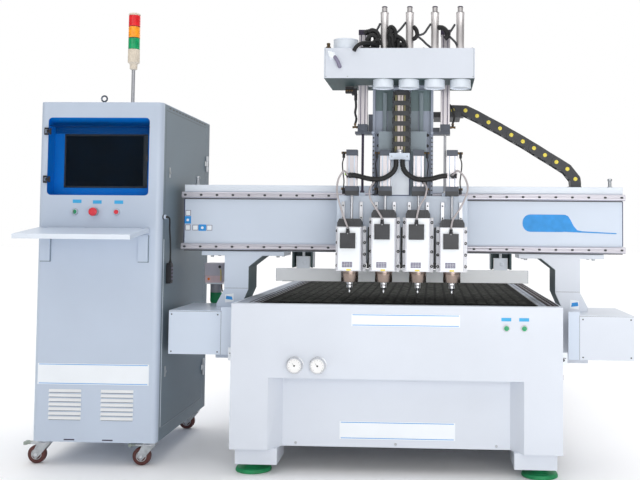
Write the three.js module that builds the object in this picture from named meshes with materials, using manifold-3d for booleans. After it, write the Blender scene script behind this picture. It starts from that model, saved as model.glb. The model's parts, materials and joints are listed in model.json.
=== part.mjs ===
// Four-spindle woodworking machining center: a welded bed with a vacuum table, a travelling gantry
// whose carriage holds four spindles, and a control cabinet on casters standing beside it.
// Millimetres, +Z up, +Y away from the operator. The origin is under the middle of the whole machine.
import * as THREE from 'three';
import { mergeVertices } from 'three/addons/utils/BufferGeometryUtils.js';
import Module from 'manifold-3d';

const wasm = await Module();
wasm.setup();

// Running gap between pieces that touch or slide, and how far a cut runs past its face
const clearance = 0.3;
const overrun = 5;
const coarseSides = 8;
const fineSides = 20;
const hexSides = 6;
const arcSteps = 4;
const sides = [-1, 1];
const halfPi = Math.PI / 2;

// The floor's height in the drawing, where every other height is measured from 0
const floorLevel = 20;

// Bed: x is measured from its centre line, y from its front face
const bed = {
  width: 1564,
  length: 3100,
  top: 831,
  bottom: 147,
  plate: 14,
  deckThickness: 48,
  crossPlates: 3,
  crossPlateHeight: 320,
  recessWidth: 1204,
  recessBackWidth: 1090,
  recessDepth: 90,
  recessTop: 484,
  footBlock: 200,
  footBlockHeight: 76,
  footInset: 122,
  footSetback: 130,
};
const table = { left: -645, right: 665, frontSetback: 50, thickness: 35, proud: 5 };
const tableGroove = { width: 8, depth: 4, edgeInset: 100, crossCount: 5 };
const foot = { padRadius: 87, padHeight: 18, neckRadius: 30, neckHeight: 15, nutRadius: 24,
  nutHeight: 12, outward: 29 };
const footStem = { radius: 12, engagement: 40 };
const yRail = { height: 560, stripThickness: 6, stripDrop: 90, stripRise: 40, proud: 14, width: 24,
  setback: 100 };
const rack = { height: 490, width: 22, proud: 12 };
const gauge = { radius: 38, flangeRadius: 41, flangeThickness: 4, depth: 30, height: 546,
  places: [-474, -365] };
const startButton = { radius: 12, proud: 9, stem: 16, stroke: 4, height: 731, places: [519, 602] };
const buttonRing = { width: 5, proud: 5 };

// Control cabinet: x is measured from its centre line, y from its front face
const cabinet = {
  centre: -1474.5,
  front: 107,
  width: 615,
  depth: 896,
  base: 140,
  top: 1807,
  wall: 3,
  frontRadius: 28,
  rearRadius: 6,
};
const monitorWindow = { left: -265.5, right: 244.5, bottom: 1345, top: 1730, radius: 20 };
const surround = { wall: 5, depth: 83, topDrop: 40 };
const screen = { left: -215.5, right: 198.5, bottom: 1385, top: 1657 };
const monitor = { margin: 26, depth: 38 };
const glass = { gap: 1, thickness: 5, proud: 1 };
const glassHinge = { heights: [1660, 1422], length: 36, width: 15, proud: 12, pinRadius: 3, swing: 10 };
const glassLatch = { drop: 200, length: 30, width: 15, inset: 4, proud: 10 };
const sideDoor = { front: 65, rear: 823, bottom: 200, top: 1780, thickness: 18, stopLip: 15,
  stopThickness: 6, edgeGap: 1.2 };
const doorHinge = { heights: [1564, 380], length: 90, knuckleRadius: 6, pinRadius: 2.5, offset: 6.5,
  setback: 3.4, strap: 34 };
const vents = { slats: 7, width: 160, slatHeight: 12, proud: 5, bottom: 248, top: 402,
  places: [-145.5, 113] };
const controls = { height: 1263, keyPlace: -120.5, stopPlace: -19.5, buttonPlace: 88.5 };
const key = { radius: 11, stem: 25, bladeWidth: 3, bladeLength: 20, bladeProud: 24, ringRadius: 15,
  ringProud: 8 };
const mushroom = { radius: 21, thickness: 18, proud: 38, stemRadius: 11, stem: 30, ringRadius: 15,
  ringProud: 12 };
const stopButton = { radius: 11, proud: 12, stem: 25, ringRadius: 15, ringProud: 6 };
const liftEye = { place: -9.5, setback: 60, radius: 14, tube: 4, stemRadius: 6, stem: 12 };
const shelf = { left: -300, right: 255, depth: 270, thickness: 22, height: 1183, tilt: 6.5, gap: 5,
  rim: 4 };
const shelfPin = { setback: 26, radius: 4, earRadius: 11, earWidth: 20, notch: 3 };
const shelfBracket = { places: [-262, 227], width: 48, thickness: 12, length: 130, drop: 33 };
const towerLight = { place: 49.5, setback: 300, poleRadius: 9, flangeRadius: 35, flangeThickness: 8 };
const towerHead = { bottom: 2026, neckTop: 2059, baseTop: 2134, lensTop: 2317, top: 2328,
  neckRadius: 20, radius: 31 };
const caster = { spread: 262.5, frontSetback: 60, rearSetback: 836, plate: 70, plateThickness: 6,
  trail: 40 };
const wheel = { radius: 45, width: 30, axleRadius: 5 };
const fork = { headRadius: 28, headHeight: 14, cheek: 4, cheekWidth: 44 };
const pedal = { reach: 104, width: 34, thickness: 8, height: 95 };
const pendant = { setback: 125, width: 46, thickness: 26, bottom: 907, height: 103 };
const cable = { radius: 4, sides: 8, steps: 24 };
const gland = { setback: 42, height: 1241, radius: 11, reach: 16 };
// The pendant's cable: hand-chosen points, as outward, backward and downward distances from the gland
const cableRoute = [
  [0, 0, 0],
  [9, 0, 0],
  [15, 4, 8],
  [14, 14, 24],
  [8, 34, 60],
  [4, 58, 110],
  [1, 76, 164],
  [-1, 82, 206],
  [-1, 83, 230.7],
];

// Gantry: x is measured from its own centre line, which lies beside the bed's
const gantry = { centre: 8, front: 360, depth: 230, bottom: 1073, top: 1413, halfLength: 1130, wall: 14 };
const gantryPlate = { halfLength: 1035, inset: 10, thickness: 4 };
const xRail = { overhang: 10, proud: 23, upper: 1343, lower: 1076, height: 33 };
const xRailBolt = { pitch: 83, radius: 7, depth: 6, endGap: 15 };
const leg = {
  depth: 205,
  flangeInner: 603,
  flangeOuter: 1035,
  flangeThickness: 22,
  gussetInner: 717,
  gussetBottom: 990,
  neckInner: 788,
  neckOuter: 914,
  neckBottom: 873,
  footInner: 820,
  footOuter: 953,
  footTop: 800,
  bottom: 520,
};
const railBlock = { length: 90, height: 56 };
const driveBox = { inner: 876, outer: 1136, front: 150, rear: 580, bottom: 567, top: 781, wall: 3,
  flange: 12 };
const yMotor = { diameter: 80, length: 120, height: 655, setback: 90, gearbox: 60, barrelShare: 0.9 };
const pump = { width: 104, depth: 110, bottom: 898, top: 998, tankRadius: 31, tankBottom: 775,
  offset: 56, plate: 6 };
const pushBar = { halfLength: 661, y: 470, thickness: 30, bottom: 913, height: 66, stroke: 70 };
const pushRod = { radius: 8, place: 518, rise: 160 };
const pushPlate = { width: 74, thickness: 8, top: 1044 };
const pushBracket = { halfWidth: 54, cheek: 8, depth: 92, bottom: 985 };

// Carriage: x is measured from its own centre line at rest
const carriage = { centre: 17, plateFront: 270, plateBack: 305, halfWidth: 153, bottom: 1050,
  top: 1909.7 };
const carriageCap = { front: 200, back: 355, thickness: 12 };
const columnFlange = { width: 12, front: 245 };
const carriageBlock = { inner: 60, outer: 150, height: 60 };
const zRail = { place: 92, width: 20, height: 15, bottom: 1090, top: 1880 };
const manifold = { left: -372, right: 349, depth: 360, bottom: 1910, top: 2055, wall: 4 };
const port = { places: [-90, 34, 158, 282], y: 55, radius: 49, wall: 3, drop: 40 };
const gate = { y: 120, radius: 19, top: 2257, capRadius: 13, capTop: 2285 };
const outlet = { place: -275, y: 75, radius: 60, wall: 4, rise: 52 };
const balance = { centre: 6, place: 206, y: 225, tube: 46, cap: 50, capBottom: 1677, tubeBottom: 1714,
  tubeTop: 2164, top: 2191 };
const balanceRod = { radius: 6, top: 1764, boreTop: 1954 };
const balanceBracket = { inner: 141, outer: 237, front: 198, thickness: 12 };

// Z slide and what it carries
const slide = { front: 205, upperFront: 215, back: 235, halfWidth: 325, bottom: 1020, shoulder: 1357,
  top: 1680 };
const slideUpperHalf = 120;
const slideBlocks = { width: 44, height: 80, places: [1080, 1250, 1570] };
const spindlePitch = 164.7;
const spindleCount = 4;
const guide = { place: 45, width: 18, height: 15, bottom: 1040, top: 1325 };
const ram = { y: 170, size: 50, capSize: 64, capBottom: 1355, tubeBottom: 1399, top: 1580, bore: 7.8,
  boreTop: 1535, rod: 7, stroke: 60 };
const balanceFoot = { height: 15, halfWidth: 14, depth: 16 };
const cableBracket = { centre: -11.5, halfWidth: 50, front: 130, bottom: 1531, top: 1563.7 };
const coverPanel = { proud: 20 };
const hoseClip = { halfWidth: 12, bottom: 1440, top: 1464, proud: 14 };
const spindle = { width: 117, front: 52, back: 152, axis: 102, bottom: 988, noseRadius: 41,
  noseBottom: 935 };
const spindleHeights = { outer: 1200, inner: 1244 };
const spindlePlate = { width: 150, thickness: 16, bottom: 982, rise: 4 };
const spindleCap = { height: 39, taper: 10, inset: 4, backInset: 18 };
const spindleBlock = { width: 28, height: 50, lowerGap: 20 };
const rodLug = { width: 32, height: 32, back: 186 };
const junction = { size: 73, depth: 14, drop: 30, shift: -6, glandRadius: 8, glandRise: 24 };
const tool = { nutRadius: 19, nutBottom: 905, shankRadius: 12, shankTop: 960, coneRadius: 9,
  coneBottom: 896 };
const toolBit = { radius: 5, tip: 880 };

// Energy chains
const zChain = { halfWidth: 46, centre: -5, front: 172, depth: 40, bottom: 1564, top: 1883, links: 8,
  groove: 6 };
const xChain = { y: 430, width: 70, height: 58, groove: 4, footHeight: 20 };
// Pivots of the chain's links from the carriage to the beam, as right and up distances from the beam's
// top middle
const xChainPivots = [
  [262, 405],
  [330, 403],
  [391, 374],
  [451, 341],
  [511, 309],
  [570, 275],
  [630, 241],
  [688, 206],
  [745, 170],
  [804, 134],
  [861, 98],
  [902, 46],
  [905, 20.3],
];
const chainArm = { inner: 120, thickness: 10, front: 300, reach: 170 };

// Corrugated hoses from the bracket to the outer rams
const hose = { radius: 12, ribDepth: 1.6, wall: 2.4, ribs: 34, sides: 8, boreEvery: 5 };
// A hose's hand-chosen points, as outward and upward distances from the bracket's outlet and the clip's
// level
const hoseRoute = [
  [16, 78],
  [16, 54],
  [22, 30],
  [42, 6],
  [78, -14],
  [120, -19],
  [160, -14],
  [198, -4],
  [223, 0],
  [235, 0],
];
const hoseY = 118;

const paint = { color: 0xc3cfdb, roughness: 0.45, metalness: 0.05 };
const materials = {
  paint: new THREE.MeshStandardMaterial(paint),
  table: new THREE.MeshStandardMaterial({ color: 0x2b2622, roughness: 0.8, metalness: 0 }),
  steel: new THREE.MeshStandardMaterial({ color: 0xc9c6c4, roughness: 0.3, metalness: 1 }),
  aluminium: new THREE.MeshStandardMaterial({ color: 0xd9d4d6, roughness: 0.4, metalness: 0.9 }),
  greenPad: new THREE.MeshStandardMaterial({ color: 0x0f6a4c, roughness: 0.6, metalness: 0 }),
  gauge: new THREE.MeshStandardMaterial({ color: 0xe9e9ea, roughness: 0.3, metalness: 0.2 }),
  green: new THREE.MeshStandardMaterial({ color: 0x12a06a, roughness: 0.4, metalness: 0 }),
  red: new THREE.MeshStandardMaterial({ color: 0xe02b2e, roughness: 0.4, metalness: 0 }),
  blue: new THREE.MeshStandardMaterial({ color: 0x0b62d8, roughness: 0.4, metalness: 0 }),
  screen: new THREE.MeshStandardMaterial({ color: 0x04090c, roughness: 0.15, metalness: 0 }),
  glass: new THREE.MeshStandardMaterial({ color: 0xbfd7e2, roughness: 0.05, metalness: 0,
    transparent: true, opacity: 0.2 }),
  black: new THREE.MeshStandardMaterial({ color: 0x1b1c1e, roughness: 0.6, metalness: 0 }),
  whiteBody: new THREE.MeshStandardMaterial({ color: 0xeceaf0, roughness: 0.4, metalness: 0.3 }),
  wheel: new THREE.MeshStandardMaterial({ color: 0x7c3a34, roughness: 0.5, metalness: 0 }),
  beige: new THREE.MeshStandardMaterial({ color: 0xd9d3c4, roughness: 0.5, metalness: 0 }),
  pump: new THREE.MeshStandardMaterial({ color: 0xd6ccd2, roughness: 0.5, metalness: 0 }),
};

// Turns a closed geometry into a solid that can be joined and cut
function toSolid(geometry) {
  const shape = geometry.clone();
  shape.deleteAttribute('normal');
  shape.deleteAttribute('uv');
  const merged = mergeVertices(shape);
  return new wasm.Manifold(new wasm.Mesh({
    numProp: 3,
    vertProperties: new Float32Array(merged.attributes.position.array),
    triVerts: new Uint32Array(merged.index.array),
  }));
}

function box([x0, x1], [y0, y1], [z0, z1]) {
  const geometry = new THREE.BoxGeometry(x1 - x0, y1 - y0, z1 - z0);
  geometry.translate((x0 + x1) / 2, (y0 + y1) / 2, (z0 + z1) / 2);
  return toSolid(geometry);
}

// A box centred on a value in x
function centredBox(x, width, ySpan, zSpan) {
  return box([x - width / 2, x + width / 2], ySpan, zSpan);
}

// A round bar along x, y or z; the middle is given in the other two directions, in x, y, z order
// Radius of a coarse bore whose flats clear a turning pin
const boreRadius = (pinRadius) => (pinRadius + clearance) / Math.cos(Math.PI / coarseSides);

function bar(axis, radius, [from, to], [u, v], count = fineSides) {
  const geometry = new THREE.CylinderGeometry(radius, radius, to - from, count);
  const middle = (from + to) / 2;
  if (axis === 'x') geometry.rotateZ(halfPi).translate(middle, u, v);
  if (axis === 'y') geometry.translate(u, middle, v);
  if (axis === 'z') geometry.rotateX(halfPi).translate(u, v, middle);
  return toSolid(geometry);
}

// An outline extruded along an axis: its points are (y, z) along x, (x, z) along y and (x, y) along z
const extrusionFrames = {
  x: [new THREE.Vector3(0, 1, 0), new THREE.Vector3(0, 0, 1), new THREE.Vector3(1, 0, 0)],
  y: [new THREE.Vector3(1, 0, 0), new THREE.Vector3(0, 0, 1), new THREE.Vector3(0, -1, 0)],
  z: [new THREE.Vector3(1, 0, 0), new THREE.Vector3(0, 1, 0), new THREE.Vector3(0, 0, 1)],
};

function extrude(axis, outline, [from, to]) {
  const shape = outline instanceof THREE.Shape
    ? outline
    : new THREE.Shape(outline.map(([u, v]) => new THREE.Vector2(u, v)));
  const geometry = new THREE.ExtrudeGeometry(shape,
    { depth: to - from, bevelEnabled: false, curveSegments: arcSteps });
  geometry.applyMatrix4(new THREE.Matrix4().makeBasis(...extrusionFrames[axis]));
  const shift = axis === 'y' ? to : from;
  geometry.translate(axis === 'x' ? shift : 0, axis === 'y' ? shift : 0, axis === 'z' ? shift : 0);
  return toSolid(geometry);
}

// A rectangle with rounded corners, one radius for its low side and one for its high side
function roundedRectangle([u0, u1], [v0, v1], lowRadius, highRadius = lowRadius) {
  const shape = new THREE.Shape();
  shape.moveTo(u0 + lowRadius, v0);
  shape.lineTo(u1 - lowRadius, v0);
  shape.absarc(u1 - lowRadius, v0 + lowRadius, lowRadius, -halfPi, 0);
  shape.lineTo(u1, v1 - highRadius);
  shape.absarc(u1 - highRadius, v1 - highRadius, highRadius, 0, halfPi);
  shape.lineTo(u0 + highRadius, v1);
  shape.absarc(u0 + highRadius, v1 - highRadius, highRadius, halfPi, Math.PI);
  shape.lineTo(u0, v0 + lowRadius);
  shape.absarc(u0 + lowRadius, v0 + lowRadius, lowRadius, Math.PI, Math.PI + halfPi);
  return shape;
}

// A turned piece on a vertical axis, from (radius, height) points
function turned(profile, count = fineSides) {
  const geometry = new THREE.LatheGeometry(profile.map(([r, z]) => new THREE.Vector2(r, z)), count);
  return toSolid(geometry.rotateX(halfPi));
}

const join = (...solids) => solids.flat().reduce((whole, piece) => whole.add(piece));
const cut = (solid, ...tools) => tools.flat().reduce((whole, piece) => whole.subtract(piece), solid);

function toGeometry(solid) {
  const { vertProperties, triVerts, numProp } = solid.getMesh();
  const geometry = new THREE.BufferGeometry();
  geometry.setAttribute('position', new THREE.BufferAttribute(new Float32Array(vertProperties), numProp));
  geometry.setIndex(new THREE.BufferAttribute(new Uint32Array(triVerts), 1));
  geometry.computeVertexNormals();
  return geometry;
}

function place(group, name, shape, material, position = [0, 0, 0]) {
  const geometry = shape.isBufferGeometry ? shape : toGeometry(shape);
  const mesh = new THREE.Mesh(geometry, material);
  mesh.name = name;
  mesh.position.set(...position);
  group.add(mesh);
  return mesh;
}

function childGroup(parent, position) {
  const group = new THREE.Group();
  group.position.set(...position);
  parent.add(group);
  return group;
}

const sideName = (side) => (side < 0 ? 'left' : 'right');

// Bed frame welded from plate: front with its recess, cross plates, foot blocks and the table's tray
function makeBedFrame() {
  const half = bed.width / 2;
  const inner = half - bed.plate;
  const front = bed.recessDepth + bed.plate;
  const rear = bed.length - bed.plate;
  const tableBottom = bed.top + table.proud - table.thickness;
  const deckBottom = bed.top - bed.deckThickness;
  const bay = (rear - front) / (bed.crossPlates + 1);
  const parts = [
    box([-half, half], [0, front], [bed.bottom, bed.top]),
    box([-half, half], [rear, bed.length], [bed.bottom, bed.top]),
    box([-half, half], [0, bed.length], [deckBottom, bed.top]),
  ];
  for (const side of sides) {
    const wall = [side * inner, side * half].sort((a, b) => a - b);
    parts.push(box(wall, [0, bed.length], [bed.bottom, bed.top]));
  }
  for (let i = 1; i <= bed.crossPlates; i++) {
    const middle = front + bay * i;
    parts.push(box([-inner, inner], [middle - bed.plate / 2, middle + bed.plate / 2],
      [deckBottom - bed.crossPlateHeight, deckBottom]));
  }
  const cuts = [];
  for (const [x, y] of footPlaces()) {
    parts.push(centredBox(x, bed.footBlock, [y - bed.footBlock / 2, y + bed.footBlock / 2],
      [bed.bottom - bed.footBlockHeight, bed.bottom]));
    const toWall = Math.sign(x);
    parts.push(box([x - (toWall * bed.footBlock) / 2, toWall * half].sort((a, b) => a - b),
      [y - bed.footBlock / 2, y + bed.footBlock / 2], [bed.bottom, bed.bottom + bed.plate]));
    const blockBottom = bed.bottom - bed.footBlockHeight;
    cuts.push(bar('z', footStem.radius + clearance,
      [blockBottom - overrun, blockBottom + footStem.engagement + clearance],
      [x + toWall * foot.outward, y], coarseSides));
  }
  for (const x of startButton.places) {
    parts.push(bar('y', startButton.radius + buttonRing.width, [-buttonRing.proud, overrun],
      [x, startButton.height]));
    cuts.push(bar('y', startButton.radius + clearance,
      [-buttonRing.proud - overrun, startButton.stem + overrun],
      [x, startButton.height]));
  }
  const aboveRecess = bed.recessTop + bed.plate;
  const pocketDepth = [bed.plate, front + overrun];
  cuts.push(box([-inner, inner], pocketDepth, [aboveRecess, deckBottom]));
  for (const side of sides) {
    const besideRecess = [side * (bed.recessWidth / 2 + bed.plate), side * inner].sort((a, b) => a - b);
    cuts.push(box(besideRecess, pocketDepth, [bed.bottom + bed.plate, aboveRecess + overrun]));
  }
  const recess = [
    [-bed.recessWidth / 2, -overrun],
    [bed.recessWidth / 2, -overrun],
    [bed.recessWidth / 2, 0],
    [bed.recessBackWidth / 2, bed.recessDepth],
    [-bed.recessBackWidth / 2, bed.recessDepth],
    [-bed.recessWidth / 2, 0],
  ];
  cuts.push(extrude('z', recess, [bed.bottom, bed.recessTop]));
  cuts.push(box([table.left - clearance, table.right + clearance],
    [table.frontSetback - clearance, bed.length - table.frontSetback + clearance],
      [tableBottom, bed.top + overrun]));
  return cut(join(parts), cuts);
}

function footPlaces() {
  const x = bed.width / 2 - bed.footInset;
  const setbacks = [bed.footSetback, bed.length - bed.footSetback];
  return setbacks.flatMap((y) => sides.map((side) => [side * x, y]));
}

// Levelling foot: pad, neck, lock nut and the threaded stem that goes up into the foot block
function makeFoot() {
  const blockBottom = bed.bottom - bed.footBlockHeight - floorLevel;
  const nutBottom = foot.padHeight + foot.neckHeight;
  const pad = turned([
    [0, 0],
    [foot.padRadius, 0],
    [foot.padRadius, foot.padHeight],
    [foot.neckRadius, nutBottom],
    [0, nutBottom],
  ]);
  const nut = bar('z', foot.nutRadius, [nutBottom - overrun, nutBottom + foot.nutHeight], [0, 0],
    hexSides);
  const collar = bar('z', foot.nutRadius, [nutBottom, blockBottom - clearance], [0, 0], coarseSides);
  const stem = bar('z', footStem.radius, [nutBottom, blockBottom + footStem.engagement], [0, 0],
    coarseSides);
  return join(pad, nut, collar, stem);
}

function makeTable() {
  const bottom = bed.top + table.proud - table.thickness + clearance;
  const top = bed.top + table.proud;
  const front = table.frontSetback;
  const rear = bed.length - table.frontSetback;
  const cutHeight = [top - tableGroove.depth, top + overrun];
  const cuts = [table.left + tableGroove.edgeInset, table.right - tableGroove.edgeInset].map((x) =>
    centredBox(x, tableGroove.width, [front - overrun, rear + overrun], cutHeight));
  for (let i = 1; i <= tableGroove.crossCount; i++) {
    const y = front + ((rear - front) * i) / (tableGroove.crossCount + 1);
    cuts.push(box([table.left - overrun, table.right + overrun],
      [y - tableGroove.width / 2, y + tableGroove.width / 2], cutHeight));
  }
  return cut(box([table.left, table.right], [front, rear], [bottom, top]), cuts);
}

// A side rail on its machined strip, with the gear rack below it, as one section along the bed
function makeYRail(side) {
  const face = bed.width / 2 + clearance;
  const strip = face + yRail.stripThickness;
  const railHalf = yRail.width / 2;
  const rackHalf = rack.width / 2;
  const section = [
    [face, yRail.height - yRail.stripDrop],
    [strip, yRail.height - yRail.stripDrop],
    [strip, rack.height - rackHalf],
    [strip + rack.proud, rack.height - rackHalf],
    [strip + rack.proud, rack.height + rackHalf],
    [strip, rack.height + rackHalf],
    [strip, yRail.height - railHalf],
    [strip + yRail.proud, yRail.height - railHalf],
    [strip + yRail.proud, yRail.height + railHalf],
    [strip, yRail.height + railHalf],
    [strip, yRail.height + yRail.stripRise],
    [face, yRail.height + yRail.stripRise],
  ];
  return extrude('y', section.map(([x, z]) => [side * x, z]),
    [yRail.setback, bed.length - yRail.setback]);
}

function makeGauge() {
  const profile = [
    [0, clearance],
    [gauge.flangeRadius, clearance],
    [gauge.flangeRadius, gauge.flangeThickness],
    [gauge.radius, gauge.flangeThickness],
    [gauge.radius, gauge.depth],
    [0, gauge.depth],
  ];
  return toGeometry(turned(profile)).rotateX(halfPi);
}

function makeStartButton() {
  return bar('y', startButton.radius, [-startButton.proud, startButton.stem - startButton.stroke],
    [0, 0]);
}

function buildBed(parent) {
  place(parent, 'bed_frame', makeBedFrame(), materials.paint);
  place(parent, 'vacuum_table', makeTable(), materials.table);
  for (const side of sides) place(parent, `y_rail_${sideName(side)}`, makeYRail(side), materials.steel);
  footPlaces().forEach(([x, y]) => {
    const name = `levelling_foot_${y < bed.length / 2 ? 'front' : 'rear'}_${sideName(x)}`;
    place(parent, name, makeFoot(), materials.greenPad,
      [x + Math.sign(x) * foot.outward, y, floorLevel]);
  });
  gauge.places.forEach((x, i) =>
    place(parent, `vacuum_gauge_${sideName(sides[i])}`, makeGauge(), materials.gauge,
      [x, 0, gauge.height]));
  startButton.places.forEach((x, i) =>
    place(parent, `start_button_${sideName(sides[i])}`, makeStartButton(), materials.green,
      [x, 0, startButton.height]));
}

// Cabinet shell: folded sheet box with the monitor window, side door opening, vents, brackets and rings
function makeCabinetShell() {
  const half = cabinet.width / 2;
  const inner = half - cabinet.wall;
  const outline = roundedRectangle([-half, half], [0, cabinet.depth], cabinet.frontRadius,
    cabinet.rearRadius);
  const hollow = roundedRectangle([-inner, inner], [cabinet.wall, cabinet.depth - cabinet.wall],
    cabinet.frontRadius - cabinet.wall, cabinet.rearRadius - cabinet.wall);
  const parts = [
    cut(extrude('z', outline, [cabinet.base, cabinet.top]),
      extrude('z', hollow, [cabinet.base + cabinet.wall, cabinet.top - cabinet.wall])),
    makeDoorStop(),
    ...makeVentSlats(),
    ...makeShelfBrackets(),
    ...makeDoorKnuckles(),
    ...makeGlassHingeBlocks(),
    makeLiftEye(),
    bar('x', gland.radius, [inner, half + gland.reach], [gland.setback, gland.height], coarseSides),
    bar('y', key.ringRadius, [-key.ringProud, overrun], [controls.keyPlace, controls.height]),
    bar('y', mushroom.ringRadius, [-mushroom.ringProud, overrun], [controls.stopPlace, controls.height]),
    bar('y', stopButton.ringRadius, [-stopButton.ringProud, overrun],
      [controls.buttonPlace, controls.height]),
  ];
  for (const [x, y] of casterPlaces()) {
    parts.push(centredBox(x, caster.plate, [y - caster.plate / 2, y + caster.plate / 2],
      [cabinet.base - caster.plateThickness, cabinet.base + overrun]));
  }
  const throughWall = [-mushroom.proud, overrun + overrun];
  const cuts = [
    extrude('y', roundedRectangle([monitorWindow.left, monitorWindow.right],
      [monitorWindow.bottom, monitorWindow.top], monitorWindow.radius),
        [-overrun, cabinet.wall + overrun]),
    box([half - cabinet.wall - clearance, half + overrun], [sideDoor.front, sideDoor.rear],
      [sideDoor.bottom, sideDoor.top]),
    bar('y', key.radius + clearance, throughWall, [controls.keyPlace, controls.height]),
    bar('y', mushroom.stemRadius + clearance, throughWall, [controls.stopPlace, controls.height]),
    bar('y', stopButton.radius + clearance, throughWall, [controls.buttonPlace, controls.height]),
  ];
  return cut(join(parts), cuts);
}

// Frame inside the door opening: a web behind its edge and a lip that the closed door rests on
function makeDoorStop() {
  const inner = cabinet.width / 2 - cabinet.wall;
  const seat = cabinet.width / 2 - sideDoor.thickness - clearance;
  const ring = (grow, xSpan) => box(xSpan, [sideDoor.front - grow, sideDoor.rear + grow],
    [sideDoor.bottom - grow, sideDoor.top + grow]);
  const lipBack = seat - sideDoor.stopThickness;
  const outside = ring(sideDoor.stopLip, [lipBack, inner + cabinet.wall / 2]);
  const pocket = ring(0, [seat, inner + cabinet.wall]);
  const throughHole = ring(-sideDoor.stopLip, [lipBack - overrun, inner + cabinet.wall]);
  return cut(outside, pocket, throughHole);
}

function makeVentSlats() {
  const pitch = (vents.top - vents.bottom) / vents.slats;
  const slats = [];
  for (const middle of vents.places) {
    for (let i = 0; i < vents.slats; i++) {
      const z = vents.bottom + pitch * i;
      const wedge = [
        [overrun / 2, z],
        [-vents.proud, z],
        [overrun / 2, z + vents.slatHeight],
      ];
      slats.push(extrude('x', wedge, [middle - vents.width / 2, middle + vents.width / 2]));
    }
  }
  return slats;
}

// Wall plates of the shelf, each with the ear and pin that the shelf folds about
function makeShelfBrackets() {
  const pinHeight = shelf.height - shelf.thickness / 2;
  const top = shelf.height - shelfBracket.drop;
  return shelfBracket.places.map((x) => {
    const wallPlate = centredBox(x, shelfBracket.width, [-shelfBracket.thickness, cabinet.wall],
      [top - shelfBracket.length, top]);
    const ear = bar('x', shelfPin.earRadius, [x - shelfPin.earWidth / 2, x + shelfPin.earWidth / 2],
      [-shelfPin.setback, pinHeight], coarseSides);
    const arm = centredBox(x, shelfPin.earWidth, [-shelfPin.setback, cabinet.wall],
      [pinHeight - shelfPin.earRadius, pinHeight + shelfPin.earRadius]);
    const pin = bar('x', shelfPin.radius, [x - shelfBracket.width / 2, x + shelfBracket.width / 2],
      [-shelfPin.setback, pinHeight], coarseSides);
    return join(wallPlate, ear, arm, pin);
  });
}

const doorAxis = { x: cabinet.width / 2 + doorHinge.offset, y: sideDoor.rear + doorHinge.setback };

// The shell's knuckles and pins of the side door, with the plates that carry them
function makeDoorKnuckles() {
  const third = doorHinge.length / 6;
  const half = cabinet.width / 2;
  return doorHinge.heights.map((height) => {
    const knuckles = sides.map((side) => {
      const span = [height + side * third, height + (side * doorHinge.length) / 2].sort((a, b) => a - b);
      const carrier = box([half - cabinet.wall, doorAxis.x],
        [sideDoor.rear, sideDoor.rear + doorHinge.strap], span);
      return join(carrier, bar('z', doorHinge.knuckleRadius, span, [doorAxis.x, doorAxis.y],
        coarseSides));
    });
    const pin = bar('z', doorHinge.pinRadius,
      [height - doorHinge.length / 2, height + doorHinge.length / 2], [doorAxis.x, doorAxis.y],
        coarseSides);
    return join(...knuckles, pin);
  });
}

// Left-hand blocks and pins of the glass door
const glassAxis = { x: monitorWindow.left, y: -(glass.proud + glassHinge.proud) / 2 };

function makeGlassHingeBlocks() {
  return glassHinge.heights.map((height) => {
    const span = [height - glassHinge.length / 2, height + glassHinge.length / 2];
    const block = box([monitorWindow.left - glassHinge.width, monitorWindow.left - glassHinge.swing],
      [-glassHinge.proud, cabinet.wall / 2], span);
    const quarter = glassHinge.length / 4;
    const ends = [
      box([monitorWindow.left - glassHinge.width, monitorWindow.left + glassHinge.pinRadius],
        [-glassHinge.proud, -glass.proud - clearance], [height + quarter, span[1]]),
      box([monitorWindow.left - glassHinge.width, monitorWindow.left + glassHinge.pinRadius],
        [-glassHinge.proud, -glass.proud - clearance], [span[0], height - quarter]),
    ];
    return join(block, ...ends, bar('z', glassHinge.pinRadius, span, [glassAxis.x, glassAxis.y],
      coarseSides));
  });
}

function makeLiftEye() {
  const stem = bar('z', liftEye.stemRadius, [cabinet.top - cabinet.wall, cabinet.top + liftEye.stem],
    [liftEye.place, liftEye.setback], coarseSides);
  const ring = new THREE.TorusGeometry(liftEye.radius, liftEye.tube, hexSides, coarseSides);
  ring.rotateX(halfPi);
  ring.translate(liftEye.place, liftEye.setback, cabinet.top + liftEye.stem + liftEye.radius);
  return join(stem, toSolid(ring));
}

function casterPlaces() {
  const setbacks = [caster.frontSetback, caster.rearSetback];
  return setbacks.flatMap((y) => sides.map((side) => [side * caster.spread, y]));
}

// Blue lining behind the window, with the cut-out for the screen in its back plate
function makeSurround() {
  const { left, right, bottom, top } = monitorWindow;
  const front = cabinet.wall + clearance;
  const back = front + surround.depth;
  const outer = box([left - surround.wall, right + surround.wall], [front, back],
    [bottom - surround.wall, top + surround.wall]);
  const hollow = [
    [front - overrun, bottom],
    [back - surround.wall, bottom],
    [back - surround.wall, top - surround.topDrop],
    [front, top],
    [front - overrun, top],
  ];
  return cut(outer, extrude('x', hollow, [left, right]),
    box([screen.left, screen.right], [front, back + overrun], [screen.bottom, screen.top]));
}

function makeMonitor() {
  const back = cabinet.wall + clearance + surround.depth;
  const body = box([screen.left - monitor.margin, screen.right + monitor.margin],
    [back + clearance, back + monitor.depth], [screen.bottom - monitor.margin,
      screen.top + monitor.margin]);
  const panel = box([screen.left + clearance, screen.right - clearance],
    [back - surround.wall, back + overrun],
    [screen.bottom + clearance, screen.top - clearance]);
  return join(body, panel);
}

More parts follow.
